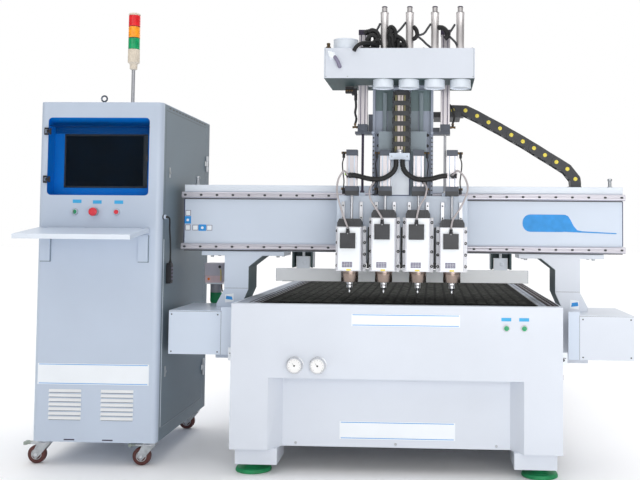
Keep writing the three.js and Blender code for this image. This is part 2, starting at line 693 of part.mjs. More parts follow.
// Glass door with its hinge ends and latch
function makeWindowDoor() {
  const { left, right, bottom, top } = monitorWindow;
  const pane = extrude('y', roundedRectangle([left + glass.gap, right - glass.gap],
    [bottom + glass.gap, top - glass.gap], monitorWindow.radius - glass.gap),
  [-glass.proud, glass.thickness - glass.proud - cabinet.wall + glass.gap]);
  const quarter = glassHinge.length / 4;
  const lugs = glassHinge.heights.map((height) => {
    const span = [height - quarter + clearance, height + quarter - clearance];
    return join(
      box([left + glassHinge.pinRadius * 2, left + glassHinge.width], [-glassHinge.proud, 0], span),
      box([left - glassHinge.pinRadius, left + glassHinge.width],
        [-glassHinge.proud, -glass.proud - clearance], span));
  });
  const bores = glassHinge.heights.map((height) => bar('z', boreRadius(glassHinge.pinRadius),
    [height - glassHinge.length, height + glassHinge.length], [glassAxis.x, glassAxis.y], coarseSides));
  const latchTop = monitorWindow.top - glassLatch.drop + glassLatch.length / 2;
  const latch = box([right - glassLatch.inset - glassLatch.width, right - glassLatch.inset],
    [-glassLatch.proud, 0], [latchTop - glassLatch.length, latchTop]);
  return join(pane, latch, cut(join(lugs), bores));
}

function makeSideDoor() {
  const half = cabinet.width / 2;
  const leaf = box([half - sideDoor.thickness, half],
    [sideDoor.front + sideDoor.edgeGap, sideDoor.rear - clearance],
    [sideDoor.bottom + clearance, sideDoor.top - clearance]);
  const third = doorHinge.length / 6 - clearance;
  const knuckles = doorHinge.heights.map((height) => {
    const span = [height - third, height + third];
    const strap = box([half + clearance, half + clearance + cabinet.wall],
      [sideDoor.rear - doorHinge.strap, doorAxis.y], span);
    const root = box([half - cabinet.wall, half + cabinet.wall],
      [sideDoor.rear - doorHinge.strap, sideDoor.rear - doorHinge.strap / 2], span);
    const knuckle = bar('z', doorHinge.knuckleRadius, span, [doorAxis.x, doorAxis.y], coarseSides);
    const bore = bar('z', boreRadius(doorHinge.pinRadius), [span[0] - overrun, span[1] + overrun],
      [doorAxis.x, doorAxis.y], coarseSides);
    return cut(join(strap, root, knuckle), bore);
  });
  const tray = box([half - sideDoor.thickness - overrun, half - cabinet.wall],
    [sideDoor.front + sideDoor.stopLip, sideDoor.rear - doorHinge.strap - overrun],
    [sideDoor.bottom + sideDoor.stopLip, sideDoor.top - sideDoor.stopLip]);
  return join(cut(leaf, tray), ...knuckles);
}

// The shelf is drawn level about its pin; its group tilts it
function makeShelf() {
  const rear = shelfPin.setback - shelf.gap;
  const slab = box([shelf.left, shelf.right], [rear - shelf.depth, rear],
    [-shelf.thickness / 2, shelf.thickness / 2]);
  const cuts = shelfBracket.places.flatMap((x) => [
    centredBox(x, shelfPin.earWidth + clearance * 2,
      [-shelfPin.earRadius - shelfPin.notch, rear + overrun],
      [-shelf.thickness, shelf.thickness]),
    bar('x', boreRadius(shelfPin.radius), [x - shelfBracket.width / 2 - clearance,
      x + shelfBracket.width / 2 + clearance],
      [0, 0], coarseSides),
  ]);
  const { rim } = shelf;
  cuts.push(box([shelf.left + rim, shelf.right - rim],
    [rear - shelf.depth + rim, -shelfPin.earRadius - shelfPin.notch - rim],
    [-shelf.thickness, shelf.thickness / 2 - rim]));
  return cut(slab, cuts);
}

function makeKeySwitch() {
  const barrel = bar('y', key.radius, [-key.ringProud, key.stem], [0, 0]);
  const blade = centredBox(0, key.bladeWidth, [-key.ringProud - key.bladeProud, -key.ringProud + overrun],
    [-key.bladeLength / 2, key.bladeLength / 2]);
  return join(barrel, blade);
}

function makeEmergencyStop() {
  return join(
    bar('y', mushroom.radius, [-mushroom.proud, mushroom.thickness - mushroom.proud], [0, 0]),
    bar('y', mushroom.stemRadius, [-mushroom.proud, mushroom.stem], [0, 0]));
}

// Pole and lamp head, turned as one stack
function makeTowerLight() {
  const bottom = cabinet.top + clearance;
  return turned([
    [0, bottom],
    [towerLight.flangeRadius, bottom],
    [towerLight.flangeRadius, bottom + towerLight.flangeThickness],
    [towerLight.poleRadius, bottom + towerLight.flangeThickness],
    [towerLight.poleRadius, towerHead.bottom],
    [towerHead.neckRadius, towerHead.bottom],
    [towerHead.neckRadius, towerHead.neckTop],
    [towerHead.radius, towerHead.neckTop],
    [towerHead.radius, towerHead.lensTop],
    [towerHead.neckRadius, towerHead.top],
    [0, towerHead.top],
  ]);
}

function makeFork() {
  const top = cabinet.base - caster.plateThickness - clearance - floorLevel;
  const head = bar('z', fork.headRadius, [top - fork.headHeight, top], [0, 0], coarseSides);
  const cheekGap = wheel.width / 2 + clearance;
  const outline = [
    [fork.headRadius, top],
    [-fork.headRadius, top],
    [-caster.trail - fork.cheekWidth / 2, wheel.radius],
    [-caster.trail, wheel.radius - fork.cheekWidth / 2],
    [-caster.trail + fork.cheekWidth / 2, wheel.radius],
    [fork.headRadius, top - fork.headHeight],
  ];
  const cheeks = sides.map((side) => {
    const span = [side * cheekGap, side * (cheekGap + fork.cheek)].sort((a, b) => a - b);
    return extrude('y', outline, span);
  });
  const axle = bar('y', wheel.axleRadius, [-cheekGap - fork.cheek, cheekGap + fork.cheek],
    [-caster.trail, wheel.radius],
    coarseSides);
  const lever = box([-pedal.reach, -fork.headRadius], [-pedal.width / 2, pedal.width / 2],
    [pedal.height, pedal.height + pedal.thickness]);
  return join(head, ...cheeks, axle, lever);
}

function makeWheel() {
  const half = wheel.width / 2 - clearance;
  return cut(bar('y', wheel.radius, [-half, half], [0, 0]),
    bar('y', boreRadius(wheel.axleRadius), [-wheel.width, wheel.width], [0, 0], coarseSides));
}

// A tube with a round section swept along a curve
function sweep(points, radius, count, steps) {
  const curve = new THREE.CatmullRomCurve3(points.map((p) => new THREE.Vector3(...p)));
  const circle = new THREE.Shape(Array.from({ length: count }, (_, i) => {
    const angle = (i / count) * Math.PI * 2;
    return new THREE.Vector2(Math.cos(angle) * radius, Math.sin(angle) * radius);
  }));
  return toSolid(new THREE.ExtrudeGeometry(circle, { steps, extrudePath: curve, bevelEnabled: false }));
}

function makeCable() {
  const exit = [cabinet.width / 2 + gland.reach + clearance, gland.setback, gland.height];
  const points = cableRoute.map(([out, back, down]) => [exit[0] + out, exit[1] + back, exit[2] - down]);
  return sweep(points, cable.radius, cable.sides, cable.steps);
}

function buildCabinet(parent) {
  const group = childGroup(parent, [cabinet.centre, cabinet.front, 0]);
  place(group, 'cabinet_shell', makeCabinetShell(), materials.paint);
  place(group, 'monitor_surround', makeSurround(), materials.blue);
  place(group, 'monitor', makeMonitor(), materials.screen);
  place(group, 'window_door', makeWindowDoor(), materials.glass);
  place(group, 'side_door', makeSideDoor(), materials.paint);
  const pivot = [0, -shelfPin.setback, shelf.height - shelf.thickness / 2];
  const shelfMesh = place(group, 'keyboard_shelf', makeShelf(), materials.paint, pivot);
  shelfMesh.rotation.x = THREE.MathUtils.degToRad(shelf.tilt);
  place(group, 'key_switch', makeKeySwitch(), materials.green, [controls.keyPlace, 0, controls.height]);
  place(group, 'emergency_stop', makeEmergencyStop(), materials.red,
    [controls.stopPlace, 0, controls.height]);
  const pushButton = bar('y', stopButton.radius, [-stopButton.proud, stopButton.stem], [0, 0]);
  place(group, 'stop_button', pushButton, materials.red, [controls.buttonPlace, 0, controls.height]);
  place(group, 'tower_light', makeTowerLight(), materials.beige,
    [towerLight.place, towerLight.setback, 0]);
  const side = cabinet.width / 2;
  const pendantBody = box([side + clearance, side + clearance + pendant.thickness],
    [pendant.setback - pendant.width / 2, pendant.setback + pendant.width / 2],
    [pendant.bottom, pendant.bottom + pendant.height]);
  place(group, 'pendant', pendantBody, materials.black);
  place(group, 'pendant_cable', makeCable(), materials.black);
  casterPlaces().forEach(([x, y]) => {
    const where = `${y < cabinet.depth / 2 ? 'front' : 'rear'}_${sideName(x)}`;
    place(group, `caster_fork_${where}`, makeFork(), materials.steel, [x, y, floorLevel]);
    place(group, `caster_wheel_${where}`, makeWheel(), materials.wheel,
      [x - caster.trail, y, floorLevel + wheel.radius]);
  });
}

// Gantry beam: box section open at both ends, base plate, push bar brackets and rod bores
function makeBeam() {
  const back = gantry.front + gantry.depth;
  const half = gantry.halfLength;
  const plateSpan = [gantry.front + gantryPlate.inset, back - gantryPlate.inset];
  const plateBottom = gantry.bottom - gantryPlate.thickness;
  const bracketDepth = [pushBar.y - pushBracket.depth / 2, pushBar.y + pushBracket.depth / 2];
  const parts = [
    box([-half, half], [gantry.front, back], [gantry.bottom, gantry.top]),
    box([-gantryPlate.halfLength, gantryPlate.halfLength], plateSpan, [plateBottom, gantry.bottom]),
  ];
  const cuts = [];
  for (const side of sides) {
    const middle = side * pushRod.place;
    for (const cheekSide of sides) {
      const outer = middle + cheekSide * pushBracket.halfWidth;
      const span = [outer, outer - cheekSide * pushBracket.cheek].sort((a, b) => a - b);
      parts.push(box(span, bracketDepth, [pushBracket.bottom, plateBottom]));
    }
    cuts.push(bar('z', pushRod.radius + clearance,
      [plateBottom - overrun, pushBar.bottom + pushBar.height + pushRod.rise + overrun],
      [middle, pushBar.y], coarseSides));
  }
  cuts.push(box([-half - overrun, half + overrun], [gantry.front + gantry.wall, back - gantry.wall],
    [gantry.bottom + gantry.wall, gantry.top - gantry.wall]));
  return cut(join(parts), cuts);
}

function makeXRail(bottom) {
  const front = gantry.front - xRail.proud;
  const middle = bottom + xRail.height / 2;
  const half = gantry.halfLength + xRail.overhang;
  const count = Math.floor(((half - xRailBolt.endGap) * 2) / xRailBolt.pitch) + 1;
  const holes = Array.from({ length: count }, (_, i) => {
    const x = (i - (count - 1) / 2) * xRailBolt.pitch;
    return bar('y', xRailBolt.radius, [front - overrun, front + xRailBolt.depth], [x, middle], hexSides);
  });
  const rail = box([-half, half], [front, gantry.front - clearance],
    [bottom, bottom + xRail.height]);
  return cut(rail, holes);
}

// Welded leg: top flange, gusset, neck, outward step and the blocks that ride on the side rail
function makeLeg(side) {
  const top = gantry.bottom - gantryPlate.thickness - clearance;
  const underFlange = top - leg.flangeThickness;
  const outline = [
    [leg.flangeInner, top],
    [leg.flangeOuter, top],
    [leg.flangeOuter, underFlange],
    [leg.neckOuter, underFlange],
    [leg.neckOuter, leg.neckBottom],
    [leg.footOuter, leg.footTop],
    [leg.footOuter, leg.bottom],
    [leg.footInner, leg.bottom],
    [leg.footInner, leg.footTop],
    [leg.neckInner, leg.neckBottom],
    [leg.neckInner, leg.gussetBottom],
    [leg.gussetInner, underFlange],
    [leg.flangeInner, underFlange],
  ];
  const depth = [gantry.front, gantry.front + leg.depth];
  const plate = extrude('y', outline.map(([x, z]) => [side * x, z]), depth);
  const railReach = bed.width / 2 + clearance * 2 + yRail.stripThickness + yRail.proud;
  const railFace = side * railReach - gantry.centre;
  const blockSpan = [railFace, side * (leg.footInner + overrun)].sort((a, b) => a - b);
  const ends = [gantry.front, gantry.front + leg.depth - railBlock.length];
  const blocks = ends.map((y) => box(blockSpan, [y, y + railBlock.length],
    [yRail.height - railBlock.height / 2, yRail.height + railBlock.height / 2]));
  return join(plate, ...blocks);
}

// Sheet cover of the side drive, open towards the bed and cut round the leg
function makeDriveBox(side) {
  const spanX = (from, to) => [side * from, side * to].sort((a, b) => a - b);
  const { wall } = driveBox;
  const shell = cut(
    box(spanX(driveBox.inner, driveBox.outer), [driveBox.front, driveBox.rear],
      [driveBox.bottom, driveBox.top]),
    box(spanX(driveBox.inner - overrun, driveBox.outer - wall),
      [driveBox.front + wall, driveBox.rear - wall],
      [driveBox.bottom + wall, driveBox.top - wall]));
  const legRoom = box(spanX(driveBox.inner - overrun, leg.footOuter + clearance),
    [gantry.front - clearance, driveBox.rear + overrun],
      [driveBox.bottom - overrun, driveBox.top + overrun]);
  const backFlange = box(spanX(leg.footOuter + clearance, leg.footOuter + clearance + driveBox.flange),
    [gantry.front, driveBox.rear - wall / 2], [driveBox.bottom, driveBox.bottom + wall]);
  return join(cut(shell, legRoom), backFlange);
}

// Servo motor and gearbox on the outside of the leg
function makeYMotor(side) {
  const face = side * (leg.footOuter + clearance);
  const y = gantry.front + yMotor.setback;
  const half = yMotor.diameter / 2;
  const gearbox = box([face, face + side * yMotor.gearbox].sort((a, b) => a - b), [y - half, y + half],
    [yMotor.height - half, yMotor.height + half]);
  const motor = bar('x', half * yMotor.barrelShare,
    [face + side * yMotor.gearbox, face + side * yMotor.length].sort((a, b) => a - b),
    [y, yMotor.height], coarseSides);
  return join(gearbox, motor);
}

function makePump() {
  const outer = -leg.neckOuter - pump.offset;
  const y = gantry.front + leg.depth + clearance;
  const middle = outer - pump.width / 2;
  return join(
    box([outer - pump.width, outer], [y, y + pump.depth], [pump.bottom, pump.top]),
    box([outer - overrun, pump.offset - leg.neckOuter], [y, y + pump.plate], [pump.bottom, pump.top]),
    bar('z', pump.tankRadius, [pump.tankBottom, pump.bottom + overrun], [middle, y + pump.depth / 2],
      coarseSides));
}

// Push bar with its two guide rods and the inner plates that slide between the brackets' cheeks
function makePushBar() {
  const top = pushBar.bottom + pushBar.height;
  const front = pushBar.y - pushBar.thickness / 2;
  const parts = [box([-pushBar.halfLength, pushBar.halfLength], [front, front + pushBar.thickness],
    [pushBar.bottom, top])];
  for (const side of sides) {
    parts.push(bar('z', pushRod.radius, [top - overrun, top + pushRod.rise],
      [side * pushRod.place, pushBar.y], coarseSides));
    parts.push(centredBox(side * pushRod.place, pushPlate.width, [front, front + pushPlate.thickness],
      [top - overrun, pushPlate.top]));
  }
  return join(parts);
}

// Cable chain to the carriage: straight links between pivots, a joint boss at each pivot, and its foot
// on the beam
function makeXChain() {
  const half = xChain.height / 2;
  const span = [xChain.y, xChain.y + xChain.width];
  const level = ([x, rise]) => [x, gantry.top + rise];
  const parts = [];
  for (let i = 1; i < xChainPivots.length; i++) {
    const [x0, z0] = level(xChainPivots[i - 1]);
    const [x1, z1] = level(xChainPivots[i]);
    const length = Math.hypot(x1 - x0, z1 - z0);
    const [nx, nz] = [(-(z1 - z0) / length) * half, ((x1 - x0) / length) * half];
    const gap = i % 2 === 0 ? 0 : xChain.groove / 2;
    const trim = gap / half;
    const link = [
      [x0 + nx * (1 - trim), z0 + nz * (1 - trim)],
      [x0 - nx * (1 - trim), z0 - nz * (1 - trim)],
      [x1 - nx * (1 - trim), z1 - nz * (1 - trim)],
      [x1 + nx * (1 - trim), z1 + nz * (1 - trim)],
    ];
    const isFoot = i === xChainPivots.length - 1;
    if (!isFoot) parts.push(extrude('y', link, [span[0] + gap, span[1] - gap]));
    if (!isFoot) parts.push(bar('y', half, [span[0] + gap, span[1] - gap], [x1, z1], coarseSides));
  }
  const [footX] = xChainPivots[xChainPivots.length - 1];
  parts.push(centredBox(footX, xChain.height, span,
    [gantry.top + clearance, gantry.top + xChain.footHeight + half]));
  return join(parts);
}

function buildGantry(parent) {
  const group = childGroup(parent, [gantry.centre, 0, 0]);
  place(group, 'gantry_beam', makeBeam(), materials.paint);
  place(group, 'x_rail_upper', makeXRail(xRail.upper), materials.steel);
  place(group, 'x_rail_lower', makeXRail(xRail.lower), materials.steel);
  for (const side of sides) {
    place(group, `gantry_leg_${sideName(side)}`, makeLeg(side), materials.paint);
    place(group, `drive_box_${sideName(side)}`, makeDriveBox(side), materials.paint);
    place(group, `y_motor_${sideName(side)}`, makeYMotor(side), materials.black);
  }
  place(group, 'oil_pump', makePump(), materials.pump);
  place(group, 'push_bar', makePushBar(), materials.paint);
  place(group, 'x_drag_chain', makeXChain(), materials.black);
}

// Carriage column: back plate, cap, side flanges, Z rails, rail blocks, chain arm and cylinder brackets
function makeColumn() {
  const half = carriage.halfWidth;
  const front = carriage.plateFront;
  const parts = [
    box([-half, half], [front, carriage.plateBack], [carriage.bottom, carriage.top]),
    box([-half, half], [carriageCap.front, carriageCap.back],
      [carriage.top - carriageCap.thickness, carriage.top]),
  ];
  for (const side of sides) {
    parts.push(box([side * half, side * (half - columnFlange.width)].sort((a, b) => a - b),
      [columnFlange.front, front + overrun], [carriage.bottom, carriage.top]));
    parts.push(centredBox(side * zRail.place, zRail.width, [front - zRail.height, front + overrun],
      [zRail.bottom, zRail.top]));
    for (const railBottom of [xRail.upper, xRail.lower]) {
      const middle = railBottom + xRail.height / 2;
      parts.push(box([side * carriageBlock.inner, side * carriageBlock.outer].sort((a, b) => a - b),
        [carriage.plateBack - overrun, gantry.front - xRail.proud - clearance],
        [middle - carriageBlock.height / 2, middle + carriageBlock.height / 2]));
    }
    const bracketX = [side * balanceBracket.inner, side * balanceBracket.outer].sort((a, b) => a - b);
    const bracketZ = [balance.capBottom - clearance - balanceBracket.thickness,
      balance.capBottom - clearance];
    parts.push(cut(box(bracketX, [balanceBracket.front, front + overrun], bracketZ),
      bar('z', balanceRod.radius + clearance * 2, [bracketZ[0] - overrun, bracketZ[1] + overrun],
        [balancePlace(side), balance.y], coarseSides)));
  }
  const [chainX, chainRise] = xChainPivots[0];
  const armTop = gantry.top + chainRise - xChain.height / 2 - clearance;
  parts.push(box([chainArm.inner, chainArm.inner + chainArm.reach],
    [chainArm.front, xChain.y + xChain.width],
    [armTop - chainArm.thickness, armTop]));
  const hanger = [zChain.centre - zChain.halfWidth, zChain.centre + zChain.halfWidth];
  parts.push(box(hanger, [zChain.front, front + overrun],
    [zChain.top + clearance, zChain.top + carriageCap.thickness]));
  return join(parts);
}

// Where a balance cylinder stands, from the carriage's centre line
function balancePlace(side) {
  return balance.centre + side * balance.place;
}

// Dust manifold: hollow box with four ports, an outlet, gate cylinders and holes for the balance
// cylinders
function makeManifold() {
  const { left, right, depth, bottom, top, wall } = manifold;
  const parts = [cut(box([left, right], [0, depth], [bottom, top]),
    box([left + wall, right - wall], [wall, depth - wall], [bottom + wall, top - wall]))];
  const cuts = sides.map((side) => centredBox(balancePlace(side), balance.cap + clearance * 2,
    [balance.y - balance.cap / 2 - clearance, balance.y + balance.cap / 2 + clearance],
      [bottom - overrun, top + overrun]));
  for (const x of port.places) {
    parts.push(bar('z', port.radius, [bottom - port.drop, bottom + wall / 2], [x, port.y]));
    parts.push(bar('z', gate.radius, [top - wall / 2, gate.top], [x, gate.y], coarseSides));
    parts.push(bar('z', gate.capRadius, [gate.top - overrun, gate.capTop], [x, gate.y], coarseSides));
    cuts.push(bar('z', port.radius - port.wall, [bottom - port.drop - overrun, bottom + wall + overrun],
      [x, port.y]));
  }
  parts.push(bar('z', outlet.radius, [top - wall / 2, top + outlet.rise], [outlet.place, outlet.y]));
  cuts.push(bar('z', outlet.radius - outlet.wall, [top - wall - overrun, top + outlet.rise + overrun],
    [outlet.place, outlet.y]));
  return cut(join(parts), cuts);
}

function makeBalanceCylinder() {
  const square = (size, zSpan) => box([-size / 2, size / 2], [-size / 2, size / 2], zSpan);
  return cut(
    join(
      square(balance.cap, [balance.capBottom, balance.tubeBottom]),
      square(balance.tube, [balance.tubeBottom, balance.tubeTop]),
      square(balance.cap, [balance.tubeTop, balance.top])),
    bar('z', balanceRod.radius + clearance, [balance.capBottom - overrun, balanceRod.boreTop], [0, 0],
      coarseSides));
}

// Vertical cable chain as a stack of links with a groove at each joint
function makeZChain() {
  const { halfWidth, front, depth, bottom, top, links, groove } = zChain;
  const pitch = (top - bottom) / links;
  const core = box([-halfWidth + groove, halfWidth - groove], [front + groove, front + depth],
    [bottom, top]);
  const plates = Array.from({ length: links }, (_, i) => box([-halfWidth, halfWidth],
    [front, front + depth],
    [bottom + pitch * i + (i ? groove / 2 : 0), bottom + pitch * (i + 1) - groove / 2]));
  return join(core, ...plates);
}

function buildCarriage(parent) {
  const group = childGroup(parent, [carriage.centre, 0, 0]);
  place(group, 'x_carriage', makeColumn(), materials.paint);
  place(group, 'dust_manifold', makeManifold(), materials.paint);
  for (const side of sides) {
    place(group, `balance_cylinder_${sideName(side)}`, makeBalanceCylinder(), materials.aluminium,
      [balancePlace(side), balance.y, 0]);
  }
  place(group, 'z_drag_chain', makeZChain(), materials.black, [zChain.centre, 0, 0]);
  buildSlide(group);
}

const spindlePlaces = Array.from({ length: spindleCount },
  (_, i) => (i - (spindleCount - 1) / 2) * spindlePitch);
const isOuter = (index) => index === 0 || index === spindleCount - 1;

// Z slide: stepped plate, rail blocks, spindle guides, rams, cable bracket, cover panel and balance
// rods with their feet
function makeSlide() {
  const { front, upperFront, back, halfWidth, bottom, shoulder, top } = slide;
  const parts = [
    box([-halfWidth, halfWidth], [front, back], [bottom, shoulder]),
    box([-slideUpperHalf, slideUpperHalf], [upperFront, back], [shoulder - overrun, top]),
  ];
  const railFront = carriage.plateFront - zRail.height - clearance;
  for (const side of sides) {
    for (const z of slideBlocks.places) {
      parts.push(centredBox(side * zRail.place, slideBlocks.width, [back - overrun, railFront],
        [z, z + slideBlocks.height]));
    }
    const rodX = balancePlace(side);
    parts.push(centredBox(rodX, balanceFoot.halfWidth * 2,
      [balance.y - balanceFoot.depth / 2, balance.y + balanceFoot.depth / 2],
      [shoulder - overrun, shoulder + balanceFoot.height]));
    parts.push(bar('z', balanceRod.radius, [shoulder - overrun, balanceRod.top],
      [rodX, balance.y], coarseSides));
  }
  const bracketX = [cableBracket.centre - cableBracket.halfWidth,
    cableBracket.centre + cableBracket.halfWidth];
  parts.push(box(bracketX, [cableBracket.front, upperFront + overrun],
    [cableBracket.bottom, cableBracket.top]));
  parts.push(box(bracketX, [upperFront - coverPanel.proud, upperFront + overrun],
    [shoulder, cableBracket.bottom + overrun]));
  const bores = [];
  spindlePlaces.forEach((x, i) => {
    for (const side of sides) {
      parts.push(centredBox(x + side * guide.place, guide.width, [front - guide.height, front + overrun],
        [guide.bottom, guide.top]));
    }
    parts.push(centredBox(x, ram.capSize, [ram.y - ram.capSize / 2, front + overrun],
      [ram.capBottom, ram.tubeBottom]));
    parts.push(centredBox(x, ram.size, [ram.y - ram.size / 2, ram.y + ram.size / 2],
      [ram.tubeBottom - overrun, ram.top]));
    bores.push(bar('z', ram.bore, [ram.capBottom - overrun, ram.boreTop], [x, ram.y], coarseSides));
    if (isOuter(i)) {
      const tubeFront = ram.y - ram.size / 2;
      parts.push(centredBox(x, hoseClip.halfWidth * 2, [tubeFront - hoseClip.proud, tubeFront + overrun],
        [hoseClip.bottom, hoseClip.top]));
    }
  });
  return cut(join(parts), bores);
}

// Spindle motor on its mounting plate, with guide blocks, ram rod, cap, junction box and gland
function makeSpindle(bodyTop) {
  const half = spindle.width / 2;
  const plateFront = spindle.back;
  const plateBack = plateFront + spindlePlate.thickness;
  const plateTop = bodyTop + spindlePlate.rise;
  const guideFront = slide.front - guide.height - clearance;
  const capDepth = [spindle.front + spindleCap.inset, spindle.back - spindleCap.backInset];
  const cap = [
    [-half, bodyTop - overrun],
    [half, bodyTop - overrun],
    [half, bodyTop + spindleCap.height / 2],
    [half - spindleCap.taper, bodyTop + spindleCap.height],
    [spindleCap.taper - half, bodyTop + spindleCap.height],
    [-half, bodyTop + spindleCap.height / 2],
  ];
  const boxTop = bodyTop - junction.drop;
  const boxFront = spindle.front - junction.depth;
  const parts = [
    box([-half, half], [spindle.front, spindle.back], [spindle.bottom, bodyTop]),
    extrude('y', cap, capDepth),
    centredBox(0, spindlePlate.width, [plateFront - overrun, plateBack], [spindlePlate.bottom, plateTop]),
    bar('z', spindle.noseRadius, [spindle.noseBottom, spindle.bottom + overrun], [0, spindle.axis]),
    centredBox(0, rodLug.width, [plateBack - overrun, rodLug.back], [plateTop - rodLug.height, plateTop]),
    bar('z', ram.rod, [plateTop - overrun, ram.capBottom + ram.stroke], [0, ram.y], coarseSides),
    centredBox(junction.shift, junction.size, [boxFront, spindle.front + overrun],
      [boxTop - junction.size, boxTop]),
    bar('z', junction.glandRadius, [boxTop - overrun, boxTop + junction.glandRise],
      [junction.shift, spindle.front - junction.depth / 2], coarseSides),
  ];
  for (const side of sides) {
    const lower = spindlePlate.bottom + spindleBlock.lowerGap + guide.bottom - slide.bottom;
    const upper = plateTop - spindleBlock.height - spindleBlock.lowerGap;
    for (const z of [lower + spindleBlock.height, upper]) {
      parts.push(centredBox(side * guide.place, spindleBlock.width, [plateBack - overrun, guideFront],
        [z, z + spindleBlock.height]));
    }
  }
  const bore = bar('z', boreRadius(tool.shankRadius),
    [spindle.noseBottom - overrun, tool.shankTop + clearance],
    [0, spindle.axis], coarseSides);
  return cut(join(parts), bore);
}

// Collet nut, shank and bit on the spindle's axis
function makeTool() {
  return turned([
    [0, toolBit.tip],
    [toolBit.radius, toolBit.tip],
    [toolBit.radius, tool.coneBottom],
    [tool.coneRadius, tool.coneBottom],
    [tool.nutRadius, tool.nutBottom],
    [tool.nutRadius, spindle.noseBottom - clearance],
    [tool.shankRadius, spindle.noseBottom - clearance],
    [tool.shankRadius, tool.shankTop],
    [0, tool.shankTop],
  ], coarseSides);
}

// Corrugated hose as one closed mesh: rib rings outside, smooth bore rings inside, flat ends
function makeHose(side) {
  const clipSide = spindlePlaces[side < 0 ? 0 : spindleCount - 1];
  const start = cableBracket.centre;
  const level = (hoseClip.bottom + hoseClip.top) / 2;
  const route = hoseRoute.map(([out, up]) => new THREE.Vector3(start + side * out, hoseY, level + up));
  route[route.length - 1].x = Math.min(Math.abs(clipSide), Math.abs(route[route.length - 1].x)) * side;
  const curve = new THREE.CatmullRomCurve3(route);
  const steps = hose.ribs * 2;
  const bore = hose.radius - hose.ribDepth - hose.wall;
  const sideways = new THREE.Vector3(0, 1, 0);
  const positions = [];
  const ring = (t, radius) => {
    const centre = curve.getPointAt(t);
    const along = curve.getTangentAt(t);
    const across = new THREE.Vector3().crossVectors(along, sideways).normalize();
    const first = positions.length / 3;
    for (let i = 0; i < hose.sides; i++) {
      const angle = (i / hose.sides) * Math.PI * 2;
      const point = centre.clone()
        .addScaledVector(across, Math.cos(angle) * radius)
        .addScaledVector(sideways, Math.sin(angle) * radius);
      positions.push(point.x, point.y, point.z);
    }
    return first;
  };
  const outer = Array.from({ length: steps + 1 }, (_, i) =>
    ring(i / steps, i % 2 === 0 ? hose.radius : hose.radius - hose.ribDepth));
  const inner = [];
  for (let i = steps; i >= 0; i -= hose.boreEvery * 2) inner.push(ring(i / steps, bore));
  if (steps % (hose.boreEvery * 2) !== 0) inner.push(ring(0, bore));
  const loop = [...outer, ...inner];
  const faces = [];
  loop.forEach((a, index) => {
    const b = loop[(index + 1) % loop.length];
    for (let i = 0; i < hose.sides; i++) {
      const j = (i + 1) % hose.sides;
      faces.push(a + i, b + i, b + j, a + i, b + j, a + j);
    }
  });
  const geometry = new THREE.BufferGeometry();
  geometry.setAttribute('position', new THREE.BufferAttribute(new Float32Array(positions), 3));
  geometry.setIndex(faces);
  geometry.computeVertexNormals();
  return geometry;
}

function buildSlide(parent) {
  const group = childGroup(parent, [0, 0, 0]);
  place(group, 'z_slide', makeSlide(), materials.paint);
  spindlePlaces.forEach((x, i) => {
    const spindleGroup = childGroup(group, [x, 0, 0]);
    const top = isOuter(i) ? spindleHeights.outer : spindleHeights.inner;
    place(spindleGroup, `spindle_${i + 1}`, makeSpindle(top), materials.whiteBody);
    place(spindleGroup, `tool_${i + 1}`, makeTool(), materials.steel, [0, spindle.axis, 0]);
  });
  for (const side of sides) place(group, `hose_${sideName(side)}`, makeHose(side), materials.black);
}

const machine = new THREE.Group();
buildBed(machine);
buildCabinet(machine);
buildGantry(machine);
buildCarriage(machine);

const extent = new THREE.Box3().setFromObject(machine, true);
const middle = extent.getCenter(new THREE.Vector3());
machine.position.set(-middle.x, -middle.y, -floorLevel);

const part = new THREE.Group();
part.add(machine);

export default part;
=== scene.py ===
# Woodworking machining center: finishes, detail pieces, cable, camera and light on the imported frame.
# Sizes are millimetres in the bed's own frame, x from its centre line and y from its front face,
# and Piece.make turns them into metres of the row frame.
import json
import math

import bmesh
import bpy
from mathutils import Matrix, Vector


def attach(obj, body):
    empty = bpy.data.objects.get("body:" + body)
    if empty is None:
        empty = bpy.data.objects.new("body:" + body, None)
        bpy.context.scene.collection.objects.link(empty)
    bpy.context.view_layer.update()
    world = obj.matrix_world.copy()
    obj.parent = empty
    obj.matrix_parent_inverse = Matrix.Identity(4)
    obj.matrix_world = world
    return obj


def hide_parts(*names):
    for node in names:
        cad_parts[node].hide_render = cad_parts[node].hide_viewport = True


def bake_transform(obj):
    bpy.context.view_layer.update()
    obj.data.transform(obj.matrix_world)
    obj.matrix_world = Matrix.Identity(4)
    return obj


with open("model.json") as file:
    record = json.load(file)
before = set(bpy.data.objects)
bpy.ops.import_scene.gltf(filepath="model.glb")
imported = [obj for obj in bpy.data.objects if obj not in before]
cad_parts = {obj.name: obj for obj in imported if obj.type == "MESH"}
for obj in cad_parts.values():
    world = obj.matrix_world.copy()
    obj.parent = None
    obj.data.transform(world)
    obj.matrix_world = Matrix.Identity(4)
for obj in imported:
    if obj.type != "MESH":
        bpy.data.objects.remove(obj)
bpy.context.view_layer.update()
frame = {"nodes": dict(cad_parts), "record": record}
nodes = frame["nodes"]

MM = 0.001
BED_ORIGIN = Vector((346.5, -1466.1775, -20.0))
SIDES = (-1, 1)
SIDE_NAMES = {-1: "left", 1: "right"}
LAY = {"x": lambda u, v, w: (w, u, v), "y": lambda u, v, w: (u, w, v), "z": lambda u, v, w: (u, v, w)}


# Places and shapes
def row(x, y, z):
    """A point of the bed's frame, in metres of the row frame."""
    return (Vector((x, y, z)) + BED_ORIGIN) * MM


def around(degrees, radius, centre=(0.0, 0.0)):
    """Point at an angle on a circle."""
    angle = math.radians(degrees)
    return (centre[0] + radius * math.cos(angle), centre[1] + radius * math.sin(angle))


